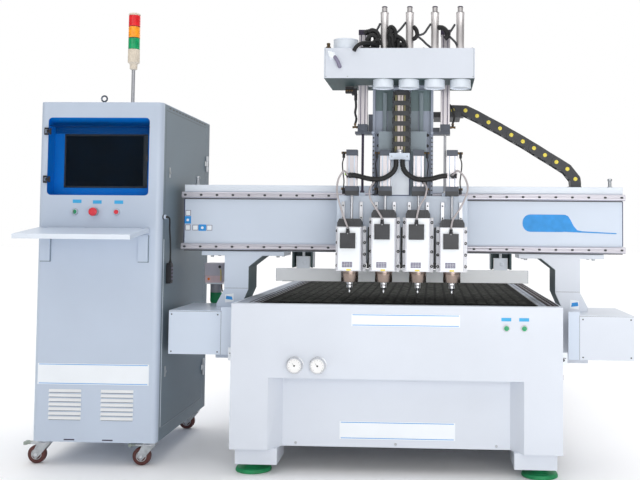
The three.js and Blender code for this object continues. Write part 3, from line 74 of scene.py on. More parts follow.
def smooth_route(points, steps=8):
    """Catmull-Rom curve through given points."""
    knots = [Vector(p) for p in points]
    knots = [knots[0] * 2 - knots[1]] + knots + [knots[-1] * 2 - knots[-2]]
    route = []
    for a, b, c, d in zip(knots, knots[1:], knots[2:], knots[3:]):
        for k in range(steps):
            t = k / steps
            route.append(0.5 * (b * 2 + (c - a) * t + (a * 2 - b * 5 + c * 4 - d) * t * t
                                + (b * 3 - a - c * 3 + d) * t ** 3))
    route.append(knots[-2])
    return route


def evenly(route, pitch):
    """The route's points again, a pitch apart."""
    lengths = [0.0]
    for a, b in zip(route, route[1:]):
        lengths.append(lengths[-1] + (b - a).length)
    count = max(2, round(lengths[-1] / pitch))
    points, i = [], 0
    for k in range(count + 1):
        want = lengths[-1] * k / count
        while i < len(route) - 2 and lengths[i + 1] < want:
            i += 1
        span = max(lengths[i + 1] - lengths[i], 1e-9)
        points.append(route[i].lerp(route[i + 1], min(1.0, (want - lengths[i]) / span)))
    return points


def rounded(x, z, radius, steps=6):
    """Outline of a rectangle with round corners."""
    corners = [(x[1] - radius, z[0] + radius, -90), (x[1] - radius, z[1] - radius, 0),
               (x[0] + radius, z[1] - radius, 90), (x[0] + radius, z[0] + radius, 180)]
    return [around(start + 90 * k / steps, radius, (u, v))
            for u, v, start in corners for k in range(steps + 1)]


def four_faced(half, inner, outer, depth):
    """Outline of a square profile around its middle, with two grooves in each face."""
    face = -half - 0.2
    floor = face + depth
    side = [(-half, face)]
    for a, b in ((-outer, -inner), (inner, outer)):
        side += [(a, face), (a, floor), (b, floor), (b, face)]
    outline = []
    for quarter in range(4):
        cos, sin = around(90 * quarter, 1.0)
        outline += [(u * cos - v * sin, u * sin + v * cos) for u, v in side]
    return outline


# Every piece that is still to be made
to_make = []


class Piece:
    """One piece of the scene, collected as closed forms around its own origin and made into one mesh."""

    def __init__(self, name, body, look, bevel=0.8, at=(0, 0, 0)):
        self.name, self.body, self.look, self.bevel, self.at = name, body, look, bevel, Vector(at)
        self.vertices, self.faces = [], []
        self.node, self.ends = None, None
        to_make.append(self)

    def add(self, vertices, faces):
        first = len(self.vertices)
        self.vertices += [Vector(v) + self.at for v in vertices]
        self.faces += [[first + i for i in face] for face in faces]
        return self

    def skin(self, rings):
        """Closed form through rings of points."""
        count = len(rings[0])
        last = (len(rings) - 1) * count
        faces = [(first + k, first + (k + 1) % count, first + count + (k + 1) % count, first + count + k)
                 for first in range(0, last, count) for k in range(count)]
        faces += [tuple(range(count))[::-1], tuple(range(last, last + count))]
        return self.add([v for ring in rings for v in ring], faces)

    def box(self, x, y, z):
        corners = [(a, b, c) for a in sorted(x) for b in sorted(y) for c in sorted(z)]
        return self.add(corners, [(0, 1, 3, 2), (4, 6, 7, 5), (0, 4, 5, 1), (2, 3, 7, 6),
                                  (0, 2, 6, 4), (1, 5, 7, 3)])

    def boxes(self, *spans):
        for span in spans:
            self.box(*span)
        return self

    def block(self, centre, half, z):
        """Upright box from its middle and half widths."""
        return self.box(*[(c - h, c + h) for c, h in zip(centre, half)], z)

    def prism(self, axis, outline, span):
        """Outline swept along an axis; its points are the other two axes in order."""
        return self.skin([[LAY[axis](u, v, w) for u, v in outline] for w in sorted(span)])

    def turned(self, axis, centre, profile, sides=24, start=0.0, facing=1):
        """Lathe form: the profile is radii and places along the axis, the centre the other two axes."""
        return self.skin([[LAY[axis](*around(360 * k / sides, radius, centre), start + facing * along)
                           for k in range(sides)] for radius, along in profile])

    def rod(self, axis, radius, span, centre, sides=20):
        return self.turned(axis, centre, [(radius, place) for place in sorted(span)], sides)

    def tube(self, points, radius, sides=10, ribs=0.0, pitch=6.0):
        """Round tube along a route; ribs swell every other ring."""
        route = [Vector(p) for p in points]
        if ribs:
            route = evenly(route, pitch / 2)
        rings = []
        for i, point in enumerate(route):
            ahead = (route[min(i + 1, len(route) - 1)] - route[max(i - 1, 0)]).normalized()
            side = ahead.cross(Vector((0.0, 0.0, 1.0)))
            if side.length < 0.2:
                side = ahead.cross(Vector((0.0, 1.0, 0.0)))
            if rings and side.dot(last_side) < 0:
                side = -side
            side.normalize()
            last_side = side
            over = side.cross(ahead)
            reach = radius - (ribs if i % 2 else 0)
            turns = [around(360 * k / sides, reach) for k in range(sides)]
            rings.append([point + side * u + over * v for u, v in turns])
        return self.skin(rings)

    def bolt(self, axis, facing, place, radius, height):
        """Domed socket head: place is its seat, facing the way it looks along the axis."""
        order = {"x": (1, 2, 0), "y": (0, 2, 1), "z": (0, 1, 2)}[axis]
        u, v, seat = [place[i] for i in order]
        profile = [(radius, 0), (radius, height * 0.7), (radius * 0.8, height), (radius * 0.42, height),
                   (radius * 0.42, height * 0.45)]
        return self.turned(axis, (u, v), profile, 12, seat, facing)

    def over(self, node):
        """Stands in for the plain look of a CAD node."""
        self.node = node
        return self

    def between(self, first, second, start, end):
        """Keeps two bodies and a point on each, the ends of a piece that runs between them."""
        self.ends = (first, second, row(*start), row(*end))
        return self

    def make(self):
        mesh = bpy.data.meshes.new(self.name)
        mesh.from_pydata([row(*v) for v in self.vertices], [], self.faces)
        work = bmesh.new()
        work.from_mesh(mesh)
        bmesh.ops.recalc_face_normals(work, faces=work.faces)
        work.to_mesh(mesh)
        work.free()
        mesh.shade_smooth()
        mesh.materials.append(self.look["material"])
        made = show(self.name, mesh)
        if self.bevel:
            soften(made, self.bevel)
        if self.body:
            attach(made, self.body)
        if self.ends:
            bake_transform(made)
        if self.node:
            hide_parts(self.node)
        to_make.remove(self)
        return made


def show(name, data):
    made = bpy.data.objects.new(name, data)
    bpy.context.scene.collection.objects.link(made)
    return made


def soften(made, width):
    """Small round on every sharp edge."""
    bevel = made.modifiers.new("edge", "BEVEL")
    bevel.width = width * MM
    bevel.segments = 2
    bevel.limit_method = "ANGLE"
    bevel.angle_limit = math.radians(38)
    bevel.harden_normals = True


# Finishes
class Tree:
    """Node tree of a material or world, with short ways to add and join its nodes."""

    def __init__(self, owner):
        owner.use_nodes = True
        self.nodes, self.links = owner.node_tree.nodes, owner.node_tree.links

    def feed(self, node, **inputs):
        """Values and sockets for a node's inputs, named with underscores for spaces."""
        for name, value in inputs.items():
            socket = node.inputs[name.replace("_", " ")]
            if isinstance(value, bpy.types.NodeSocket):
                self.links.new(value, socket)
            else:
                socket.default_value = value

    def add(self, kind, result, **inputs):
        node = self.nodes.new("ShaderNode" + kind)
        self.feed(node, **inputs)
        return node.outputs[result]


def srgb(colour):
    return [((c / 255 + 0.055) / 1.055) ** 2.4 if c > 10 else c / 255 / 12.92 for c in colour] + [1.0]


def shade(colour, factor):
    return [min(1.0, c * factor) for c in colour[:3]] + [1.0]


def finish(name, slot, colour, rough=0.45, metal=0.0, patch=3.0, depth=0.06, grain=260.0, bump=0.04,
           stretch=(1, 1, 1), coat=0.0, glow=0.0, shine=0.5):
    """Painted, metal or moulded surface: cloudy tone, fine grain in its gloss and relief."""
    material = bpy.data.materials.new(name)
    tree = Tree(material)
    place = tree.add("Mapping", "Vector", Vector=tree.add("TexCoord", "Object"), Scale=stretch)
    clouds = tree.add("TexNoise", "Fac", Vector=place, Scale=patch, Detail=5.0)
    ramp = tree.nodes.new("ShaderNodeValToRGB")
    for element, position, factor in zip(ramp.color_ramp.elements, (0.3, 0.7), (1 - depth, 1 + depth)):
        element.position = position
        element.color = shade(srgb(colour), factor)
    tree.feed(ramp, Fac=clouds)
    tone = ramp.outputs["Color"]
    fine = tree.add("TexNoise", "Fac", Vector=place, Scale=grain, Detail=3.0)
    gloss = tree.add("MapRange", "Result", Value=fine, To_Min=max(0.03, rough - 0.08),
                     To_Max=min(1.0, rough + 0.08))
    relief = tree.add("Bump", "Normal", Height=fine, Strength=bump, Distance=0.001)
    shader = tree.nodes["Principled BSDF"]
    tree.feed(shader, Base_Color=tone, Roughness=gloss, Normal=relief, Metallic=metal, Coat_Weight=coat,
              Specular_IOR_Level=shine)
    if glow:
        tree.feed(shader, Emission_Color=tone, Emission_Strength=glow)
    return {"material": material, "slot": slot}


def painted(name, colour, **own):
    """Machine paint: fine even grain under a thin clear coat."""
    look = dict(rough=0.42, patch=2.2, depth=0.035, grain=420, bump=0.05, coat=0.15)
    look.update(own)
    return finish(name, "paint", colour, **look)


paint = painted("machine_paint", (203, 214, 229))
# Painted light: a lighter copy of the machine paint for the bed, manifold, right leg and right drive box,
# which stand in more light.
brighter_lit_paint = painted("machine_paint_painted_light", (213, 219, 229))
# Painted shade: a darker copy of the machine paint for the cabinet shell, which stands in less light.
cabinet_shade_paint = painted("shaded_cabinet_finish", (189, 201, 218))
# Painted light: a near-white copy of the machine paint, so that the push bar's face under the gantry reads
# as lit.
bar_lit_paint = painted("bar_face_painted_light", (246, 250, 255), depth=0.03)
# Painted shade: a dark copy of the machine paint for the cabinet's side, its door and margins, and the
# shadows at the shelf brackets; the manifold's seam lines use it too.
shade_and_seam_paint = painted("machine_paint_painted_shade_and_seams", (104, 120, 131), rough=0.45, patch=1.2, depth=0.08, coat=0.0)
# Painted highlight: a lighter copy of the machine paint for lit bands, edges, panels and port sleeves.
paint_highlight = painted("machine_paint_highlight", (222, 230, 240), rough=0.4, patch=4, depth=0.03, bump=0.04)
# Painted shade: a darker copy of the machine paint for the carriage's column, in shade under the manifold.
column_shade_paint = painted("column_shade_paint", (158, 167, 184), rough=0.45, patch=3, depth=0.08, coat=0.0)
louvre = finish("louvre_white", "paint", (232, 234, 236), 0.5, patch=9, depth=0.03)
# Painted shade: dark green-grey for the push bar's bracket backs and the manifold's underside, which lie in
# shade.
green_painted_shade = finish("backing_painted_shade", "paint", (58, 78, 80), 0.55, patch=5, depth=0.2)
# Painted shade on the legs' inner faces.
leg_shade = finish("leg_inner_shade_paint", "paint", (88, 108, 112), 0.55, patch=4, depth=0.15)
slide_shade = finish("slide_shade", "paint", (140, 153, 162), 0.5, patch=5, depth=0.12)
# Painted shade: green-grey for the column's upper part, in shade under the manifold.
column_upper_painted_shade = finish("column_upper_painted_shade", "paint", (108, 127, 130), 0.5, patch=4, depth=0.15)
rail_shade = finish("column_rail_shade", "paint", (128, 142, 150), 0.45, patch=5, depth=0.12)
white = finish("white_plate", "aluminium", (238, 243, 248), 0.35, patch=9, depth=0.02, grain=500, bump=0.02)
silver = finish("drawn_aluminium", "aluminium", (206, 202, 206), 0.34, 0.75, patch=8, depth=0.12, grain=160,
                bump=0.05, stretch=(1, 1, 0.06))
steel = finish("bright_steel", "steel", (206, 208, 212), 0.28, 1.0, patch=8, depth=0.12, grain=150,
               bump=0.05, stretch=(0.15, 1, 1))
satin = finish("satin_steel", "steel", (196, 198, 203), 0.36, 0.9, patch=14, depth=0.12, grain=220,
               bump=0.06)
zinc = finish("zinc_plate", "steel", (182, 186, 190), 0.4, 0.85, patch=30, depth=0.2, grain=300, bump=0.08)
polished = finish("polished_cylinder", "steel", (226, 222, 222), 0.34, 0.8, patch=2, depth=0.03, grain=30,
                  bump=0.0)
rail_steel = finish("rail_steel", "steel", (196, 194, 202), 0.36, 0.55, patch=3, depth=0.06, bump=0.01)
caster_grey = finish("caster_grey", "steel", (150, 160, 152), 0.45, 0.4, patch=12, depth=0.2)
brass = finish("brass", "steel", (104, 86, 62), 0.35, 0.9, patch=40, depth=0.25)
case_white = finish("spindle_case", "spindle", (214, 216, 222), 0.35, 0.15, patch=7, depth=0.06, grain=350,
                    bump=0.04, coat=0.2)
nose_metal = finish("nose_metal", "spindle", (150, 136, 130), 0.26, 0.95, patch=12, depth=0.16)
brown_metal = finish("brown_shade", "spindle", (142, 128, 120), 0.24, 0.95, patch=14, depth=0.12)
lining = finish("blue_lining", "blue_lining", (0, 120, 205), 0.5, patch=4, depth=0.12, shine=0.15)
lining_deep = finish("blue_lining_shaded", "blue_lining", (0, 76, 138), 0.5, patch=4, depth=0.12, shine=0.1)
cyan = finish("cyan_label", "blue_lining", (72, 172, 224), 0.4, patch=30, depth=0.06, shine=0.2)
sky = finish("blue_label", "blue_lining", (58, 150, 222), 0.4, patch=30, depth=0.08, shine=0.2)
navy = finish("navy_edge", "blue_lining", (28, 42, 92), 0.45, patch=9, depth=0.15)
screen_dark = finish("screen_dark", "screen", (3, 15, 27), 0.3, patch=5, depth=0.5, grain=30, bump=0.0,
                     shine=0.05)
black = finish("black_plastic", "black_plastic", (30, 31, 36), 0.42, patch=16, depth=0.2)
slate = finish("slate_cap", "black_plastic", (74, 80, 92), 0.4, patch=16, depth=0.15)
purple_cap = finish("dark_cap", "black_plastic", (52, 44, 66), 0.4, patch=16, depth=0.2)
grey_plastic = finish("grey_plastic", "black_plastic", (122, 118, 140), 0.45, patch=16, depth=0.12)
chain_grey = finish("chain_plastic", "black_plastic", (52, 54, 58), 0.45, patch=20, depth=0.2)
rubber = finish("black_rubber", "black_rubber", (22, 22, 24), 0.6, patch=20, depth=0.2, bump=0.1)
lead_grey = finish("lead_grey", "black_rubber", (176, 170, 172), 0.5, patch=20, depth=0.12)
wheel_brown = finish("wheel_brown", "wheel", (84, 42, 38), 0.5, patch=30, depth=0.25)
green = finish("green_plastic", "green_plastic", (18, 150, 96), 0.35, patch=30, depth=0.12, coat=0.3)
lime = finish("lime_fitting", "green_plastic", (150, 196, 48), 0.4, patch=30, depth=0.12)
red = finish("red_plastic", "red_plastic", (226, 40, 58), 0.32, patch=30, depth=0.1, coat=0.4)
pad_green = finish("pad_green", "green_pad", (24, 138, 84), 0.55, patch=14, depth=0.18, grain=180, bump=0.2)
dial_white = finish("dial_white", "gauge", (240, 240, 240), 0.35, patch=20, depth=0.04)
pump_grey = finish("pump_tank", "pump", (150, 150, 158), 0.35, patch=20, depth=0.12)
pink = finish("pump_window", "pump", (222, 196, 200), 0.4, patch=20, depth=0.1)
lilac = finish("pump_lilac", "pump", (190, 186, 196), 0.4, patch=12, depth=0.06)
beige = finish("lamp_beige", "lamp", (226, 214, 196), 0.45, patch=30, depth=0.06)
cream = finish("cream_insert", "lamp", (204, 192, 186), 0.5, patch=30, depth=0.1)
# Painted glint: an olive sheen on two of the z chain's inserts.
glint_tone = finish("insert_painted_glint", "lamp", (112, 108, 74), 0.5, patch=30, depth=0.12)
yellow = finish("yellow_insert", "lamp", (232, 214, 84), 0.4, patch=30, depth=0.1)
orange = finish("orange_spot", "lamp", (238, 128, 40), 0.4, patch=20, depth=0.1)
LAMPS = [(name, finish(f"lamp_{name}", "lamp", colour, 0.2, patch=40, depth=0.2, glow=glow, coat=0.6))
         for name, colour, glow in (("green", (16, 148, 92), 0.25), ("orange", (244, 150, 36), 0.3),
                                    ("red", (216, 34, 40), 0.25))]
table_dark = finish("table_pads", "table", (50, 51, 48), 0.8, patch=34, depth=0.85, grain=120, bump=0.2,
                    shine=0.08)
table_base = finish("table_grooves", "table", (18, 19, 18), 0.8, patch=9, depth=0.3, shine=0.05)
table_edge = finish("table_edge_strip", "table", (44, 38, 40), 0.7, patch=14, depth=0.4, shine=0.1)
table_grey = finish("table_border", "table", (150, 156, 166), 0.7, patch=20, depth=0.25, shine=0.1)


def glass_finish():
    """Thin clear pane: mostly see-through, with a faint even shine."""
    material = bpy.data.materials.new("clear_pane")
    tree = Tree(material)
    tree.nodes.remove(tree.nodes["Principled BSDF"])
    haze = tree.add("TexNoise", "Fac", Vector=tree.add("TexCoord", "Object"), Scale=6.0)
    amount = tree.add("MapRange", "Result", Value=haze, To_Min=0.001, To_Max=0.003)
    clear = tree.add("BsdfTransparent", "BSDF", Color=(0.93, 0.97, 1.0, 1.0))
    shine = tree.add("BsdfGlossy", "BSDF", Roughness=0.03)
    mixed = tree.nodes.new("ShaderNodeMixShader")
    for socket, source in zip(mixed.inputs, (amount, clear, shine)):
        tree.links.new(source, socket)
    tree.feed(tree.nodes["Material Output"], Surface=mixed.outputs["Shader"])
    return {"material": material, "slot": "clear_glass"}


pane = glass_finish()
NODE_LOOKS = {
    "paint": paint, "table": table_base, "steel": zinc, "aluminium": silver, "green_pad": pad_green,
    "gauge": dial_white, "green_plastic": green, "red_plastic": red, "blue_lining": lining,
    "screen": screen_dark, "clear_glass": pane, "lamp": beige, "black_plastic": black,
    "black_rubber": rubber, "wheel": wheel_brown, "pump": pump_grey, "spindle": case_white,
}
# Lit and shaded copies of the machine paint stand for light and shade here: painted shade on the carriage,
# side door and cabinet shell, painted light on the push bar, bed, manifold and right leg and drive box.
OWN_LOOKS = {
    "x_carriage": column_shade_paint, "side_door": shade_and_seam_paint, "cabinet_shell": cabinet_shade_paint,
    "push_bar": bar_lit_paint, "y_rail_left": rail_steel, "y_rail_right": rail_steel, "bed_frame": brighter_lit_paint,
    "dust_manifold": brighter_lit_paint, "drive_box_right": brighter_lit_paint, "gantry_leg_right": brighter_lit_paint,
}
for part in frame["record"]["subparts"]:
    node = nodes[part["node"]]
    node.data.materials.clear()
    node.data.materials.append(OWN_LOOKS.get(part["node"], NODE_LOOKS[part["material_slot"]])["material"])
    node.modifiers.new("weld", "WELD").merge_threshold = 1e-5
    soften(node, 1.2)


# Camera, light and floor
YAW, PITCH, ROLL = -0.0429, 0.0461, 0.0088
CAMERA_PLACE = (0.5176, -5.5215, 1.1704)
FOCAL_LENGTH, SENSOR_WIDTH, SHIFT = 48.22, 36.0, (-0.1192, -0.0787)
SIDE_GLOW, FRONT_GLOW, TOP_GLOW = 0.2, 0.55, 0.7
FLOOR_REACH = 40.0


def make_camera():
    up = Vector((0, 0, 1))
    ahead = Vector((math.sin(YAW), math.cos(YAW), 0))
    right = Vector((math.cos(YAW), -math.sin(YAW), 0))
    look = ahead * math.cos(PITCH) + up * math.sin(PITCH)
    over = up * math.cos(PITCH) - ahead * math.sin(PITCH)
    across = right * math.cos(ROLL) + over * math.sin(ROLL)
    rise = over * math.cos(ROLL) - right * math.sin(ROLL)
    lens = bpy.data.cameras.new("camera")
    lens.sensor_fit = "HORIZONTAL"
    lens.sensor_width, lens.lens = SENSOR_WIDTH, FOCAL_LENGTH
    lens.shift_x, lens.shift_y = SHIFT
    lens.clip_start, lens.clip_end = 0.05, 100
    camera = show("camera", lens)
    camera.matrix_world = Matrix([*zip(across, rise, -look, CAMERA_PLACE), (0, 0, 0, 1)])
    bpy.context.scene.camera = camera


def make_light(name, place, target, size, power, tint=(1.0, 1.0, 1.0)):
    lamp = bpy.data.lights.new(name, "AREA")
    lamp.shape = "RECTANGLE"
    lamp.size, lamp.size_y = size
    lamp.energy = power
    lamp.color = tint
    made = show(name, lamp)
    made.location = place
    made.rotation_euler = (Vector(target) - Vector(place)).to_track_quat("-Z", "Y").to_euler()


def make_sky():
    """White room: dimmer at the sides and behind the camera, a soft lamp overhead."""
    world = bpy.data.worlds.new("studio")
    tree = Tree(world)
    split = tree.nodes.new("ShaderNodeSeparateXYZ")
    tree.feed(split, Vector=tree.add("TexCoord", "Generated"))

    def combine(operation, *values):
        node = tree.nodes.new("ShaderNodeMath")
        node.operation = operation
        for socket, value in zip(node.inputs, values):
            tree.links.new(value, socket)
        return node.outputs["Value"]

    def fade(value, start, end, low, high):
        node = tree.nodes.new("ShaderNodeMapRange")
        node.interpolation_type = "SMOOTHSTEP"
        tree.feed(node, Value=value, From_Min=start, From_Max=end, To_Min=low, To_Max=high)
        return node.outputs["Result"]

    side = fade(combine("ABSOLUTE", split.outputs["X"]), 0.5, 0.85, 1.0, SIDE_GLOW)
    front = fade(split.outputs["Y"], -0.5, 0.1, FRONT_GLOW, 1.0)
    top = fade(split.outputs["Z"], 0.45, 0.8, 0.0, TOP_GLOW)
    tree.feed(tree.nodes["Background"], Color=(1.0, 1.0, 1.0, 1.0),
              Strength=combine("ADD", combine("MULTIPLY", side, front), top))
    bpy.context.scene.world = world


def make_studio():
    make_sky()
    bpy.context.scene.view_settings.view_transform = "Standard"
    mesh = bpy.data.meshes.new("floor")
    corners = [(u * FLOOR_REACH, v * FLOOR_REACH, 0) for u, v in ((-1, -1), (1, -1), (1, 1), (-1, 1))]
    mesh.from_pydata(corners, [], [(0, 1, 2, 3)])
    look = finish("floor_white", "paint", (250, 250, 251), 0.8, patch=0.6, depth=0.01, grain=40, bump=0.0)
    mesh.materials.append(look["material"])
    show("floor", mesh)
    make_light("key", (1.4, -4.6, 1.2), (0.5, -1.0, 0.9), (2.6, 1.6), 38, (1.0, 0.985, 0.965))
    make_light("fill", (-2.6, -4.8, 2.4), (-0.9, -1.2, 1.2), (2.4, 1.8), 5)


make_camera()
make_studio()

# The pendant's cable
CABINET = (-1474.5, 107.0)
CABINET_RIGHT = CABINET[0] + 307.5
GLAND = (CABINET_RIGHT, CABINET[1] + 42.0, 1241.0)
GLAND_REACH = 16.3
CABLE_RADIUS = 4.0
# Outward, backward and upward distances from the gland's mouth, as the solid's route has them
CABLE_ROUTE = [(0, 0, 0), (9, 0, 0), (15, 4, -8), (14, 14, -24), (8, 34, -60), (4, 58, -110),
               (1, 76, -164), (-1, 82, -206), (-1, 83, -230.7)]


def make_pendant_cable():
    mouth = Vector(GLAND) + Vector((GLAND_REACH, 0, 0))
    route = smooth_route([mouth + Vector(step) for step in CABLE_ROUTE], 6)
    lead = Piece("pendant_lead", None, rubber, 0).tube(route, CABLE_RADIUS, 12).over("pendant_cable")
    made = lead.between("cabinet", "side_door", route[0], route[-1]).make()
    relief = Piece("pendant_lead_relief", "cabinet", rubber, 0.4)
    sleeve = [(12.5, 1), (12.5, 5), (9.5, 6), (9.0, 11), (7.4, 12), (7.0, 16), (5.6, 17), (5.2, 22),
              (4.2, 27)]
    relief.turned("x", GLAND[1:], sleeve, 18, GLAND[0])


make_pendant_cable()

# The cabinet's front, side and top, measured from its middle and its front
CABINET_TOP = 1807.0
WINDOW_X, WINDOW_Z, WINDOW_RADIUS = (-265.5, 244.5), (1345.0, 1730.0), 20.0
WINDOW_GAP, PANE_Y = 1.5, (-1, 3)
HINGE_HEIGHTS = (1660.0, 1422.0)
SCREEN_X, SCREEN_Z, SCREEN_FACE, BEZEL = (-215.5, 198.5), (1385.0, 1657.0), 81.2, 9.0
CONTROL_HEIGHT = 1263.0
KEY_X, STOP_X, BUTTON_X = -120.5, -19.5, 88.5
SIDE_FACE = 307.5
DOOR_SPAN = (65.0, 823.0)
SHELF_SLOPE = 6.5


def fitted(name, look, bevel=0.8, body="cabinet"):
    """Piece measured from the middle of the cabinet's front."""
    return Piece(name, body, look, bevel, (*CABINET, 0))


def make_window():
    (left, right), (low, high) = WINDOW_X, WINDOW_Z
    outline = rounded((left + WINDOW_GAP, right - WINDOW_GAP), (low + WINDOW_GAP, high - WINDOW_GAP),
                      WINDOW_RADIUS - WINDOW_GAP)
    fitted("window_pane", pane, 0.4, "window_door").prism("y", outline, PANE_Y).over("window_door")
    fittings = fitted("window_fittings", black, 1.0, "window_door")
    blocks = fitted("window_hinge_blocks", black, 1.0)
    for z in HINGE_HEIGHTS:
        fittings.box((left + 8.4, left + 17), (-7, -1), (z - 15, z + 15))
        fittings.rod("z", 4.5, (z - 8.5, z + 8.5), (left, -6.5), 14)
        fittings.box((left, left + 9), (-7.4, -3), (z - 8, z + 8))
        blocks.box((left - 15, left - 10.2), (-12.6, 0), (z - 18, z + 18))
        for end in SIDES:
            fittings.bolt("y", -1, (left + 11.5, -7, z + end * 8), 2.4, 1.4)
            blocks.box((left - 12, left + 3.4), (-12.6, -1.2), (z + end * 9.2, z + end * 18.3))
    fittings.box((right - 19, right - 4), (-6, -1), (1515, 1545))
    fittings.turned("y", (right - 11.5, 1530), [(6.5, -6), (6, -12), (4.5, -13)], 16)


def make_display():
    """Bezel, dark glass and panel edge of the screen, and the shaded lining above it."""
    (left, right), (low, high) = SCREEN_X, SCREEN_Z
    proud = (SCREEN_FACE - 3.5, SCREEN_FACE)
    fitted("screen_bezel", black, 1.0).boxes(
        ((left + 1, left + BEZEL), proud, (low + 1, high - 1)),
        ((right - BEZEL, right - 1), proud, (low + 1, high - 1)),
        ((left + 1, right - 1), proud, (low + 1, low + BEZEL)),
        ((left + 1, right - 1), proud, (high - BEZEL, high - 1)),
        ((right - 1, right + 13), proud, (low + 1, high - 1)))
    across, ceiling = (WINDOW_X[0] + 2, WINDOW_X[1] - 2), WINDOW_Z[1] - 40
    fitted("window_lining_shades", lining_deep, 0.4).boxes(
        (across, (5, 79), (ceiling, ceiling + 1.2)),
        (across, (SCREEN_FACE - 2.2, SCREEN_FACE - 1), (high + 1, ceiling)))
    fitted("screen_glass", screen_dark, 0.4).box(
        (left + BEZEL, right - BEZEL), (SCREEN_FACE - 1.6, SCREEN_FACE), (low + BEZEL, high - BEZEL))


def make_controls():
    for name, x, z in (("key", KEY_X, 1306), ("stop", STOP_X, 1303), ("stop_push", BUTTON_X, 1303)):
        fitted(f"control_label_{name}", cyan, 0.4).box((x - 12, x + 32), (-1, 0), (z, z + 17))
    rings = fitted("control_rings", zinc, 0.6)
    for x in (KEY_X, BUTTON_X):
        rings.turned("y", (x, CONTROL_HEIGHT), [(17, 0), (17, -2.5), (15, -5.5), (11.8, -5.5)], 28)
    fitted("stop_collar", zinc, 0.6).turned(
        "y", (STOP_X, CONTROL_HEIGHT), [(20, 0), (20, -3), (14, -12), (11.5, -12)], 28)
    fitted("key_barrel", green, 0.5, "key_switch").turned(
        "y", (KEY_X, CONTROL_HEIGHT), [(10.8, -2), (10.8, -8.6), (9.2, -10.4), (4, -10.6)], 28)
    blade = fitted("key_blade", steel, 0.5, "key_switch")
    width = (KEY_X - 1.7, KEY_X + 1.7)
    bow = [around(a, 9.5) for a in range(0, 360, 20)]
    blade.prism("x", [(u * 0.9 - 24, CONTROL_HEIGHT + v) for u, v in bow], width)
    blade.box(width, (-20, -8), (CONTROL_HEIGHT - 4, CONTROL_HEIGHT + 4)).over("key_switch")
    mushroom = [(10.8, -8), (10.8, -23), (18, -23.5), (20.4, -26), (21, -29.5), (20, -33.5), (16.5, -36.4),
                (11, -37.6), (4, -38)]
    fitted("mushroom_head", red, 0.3, "emergency_stop").turned(
        "y", (STOP_X, CONTROL_HEIGHT), mushroom, 36).over("emergency_stop")
    push = [(10.8, 2), (10.8, -9.4), (9.6, -11.4), (4, -12)]
    fitted("stop_push_head", red, 0.3, "stop_button").turned(
        "y", (BUTTON_X, CONTROL_HEIGHT), push, 28).over("stop_button")


def make_front():
    """Bare name plate, louvres with painted shadow under their slats, and the plinth's slots as painted
    shade.
    """
    plinth_slot_shade = ((KEY_X - 26, KEY_X + 26), (43.5, 95.5))
    fitted("cabinet_plate", white, 0.4).box((-284.5, 267.5), (-1.4, 0), (418, 520))
    fitted("cabinet_plate_rules", sky, 0.2).boxes(
        *[((-278.5, 261.5), (-1.9, 0), (z, z + 3)) for z in (421.5, 513.5)])
    slats = fitted("front_louvres", louvre, 0.5)
    # Painted shadow: dark strips in the gaps under the louvre slats.
    shadow = fitted("front_louvre_gap_shadows", chain_grey, 0.0)
    pitch = 22.0
    for x in (-145.5, 113.0):
        for i in range(7):
            low = 249 + pitch * i
            outline = [(0, low), (-6.2, low), (-6.2, low + 2), (-0.6, low + pitch * 0.62)]
            slats.prism("x", outline, (x - 80.6, x + 80.6))
            shadow.box((x - 77.6, x + 77.6), (-0.9, 0.5), (low - 3.4, low - 0.2))
    # Painted shade: dark patches for the slot openings in the plinth.
    fitted("plinth_slot_shade", purple_cap, 0.3).boxes(*[(x, (-0.7, 1), (148, 154)) for x in plinth_slot_shade])


def make_cabinet_side():
    face, (front, rear) = SIDE_FACE, DOOR_SPAN
    flush = (face - 0.5, face + 0.5)
    # Painted highlight: a light strip down the side door's front edge.
    fitted("side_door_front_highlight", paint_highlight, 0.2).box(
        (face - 0.2, face + 1.6), (58, 64), (205, 1130))
    # Painted shade on the side's margins around the door.
    fitted("side_margins", shade_and_seam_paint, 0.3).boxes(
        (flush, (64, 893), (1779, 1804)), (flush, (64, 893), (140, 199)),
        (flush, (826, 893), (199, 1779)), (flush, (40, 64), (140, 1804)))
    # Painted shade: dark patches for the slots along the side's top.
    fitted("side_top_slot_shade", black, 0.5).boxes(
        *[((face, face + 1), (109 + i * 55, 139 + i * 55), (1789, 1796)) for i in range(13)])
    locks = fitted("door_locks", zinc, 0.8, "side_door")
    for y, z in ((132, 1467), (120, 468)):
        locks.box((face, face + 3), (y - 9, y + 9), (z - 26, z + 26))
        locks.turned("x", (y, z), [(8, 3), (8, 6), (6.5, 7.4), (2, 7.4)], 18, face)
        locks.box((face + 7, face + 9), (y - 1.2, y + 1.2), (z - 5, z + 5))
    hinge = fitted("door_hinge_leaves", louvre, 0.6)
    leaf = fitted("door_hinge_knuckles", louvre, 0.6, "side_door")
    pin = (face + 6.5, rear + 3.4)
    for z in (1564.0, 380.0):
        hinge.box((face, face + 3.6), (rear + 12, rear + 36), (z - 46, z + 46))
        leaf.box((face + 0.6, face + 4.4), (rear - 34, rear - 5), (z - 14, z + 14))
        for side in SIDES:
            hinge.rod("z", 6.8, (z + side * 15.2, z + side * 45), pin, 16)
            hinge.bolt("x", 1, (face + 3.6, rear + 25, z + side * 30), 4, 1.6)
        leaf.rod("z", 6.8, (z - 14, z + 14), pin, 16)
    depth, inside = (face - 2, face + 0.25), (front + 1.4, rear - 1.4)
    fitted("door_edge_shadow", chain_grey, 0.2, "side_door").boxes(
        (depth, (inside[0], inside[0] + 1.6), (203, 1777)),
        (depth, (inside[1] - 1.6, inside[1]), (203, 1777)),
        (depth, inside, (203, 204.6)), (depth, inside, (1775.4, 1777)))


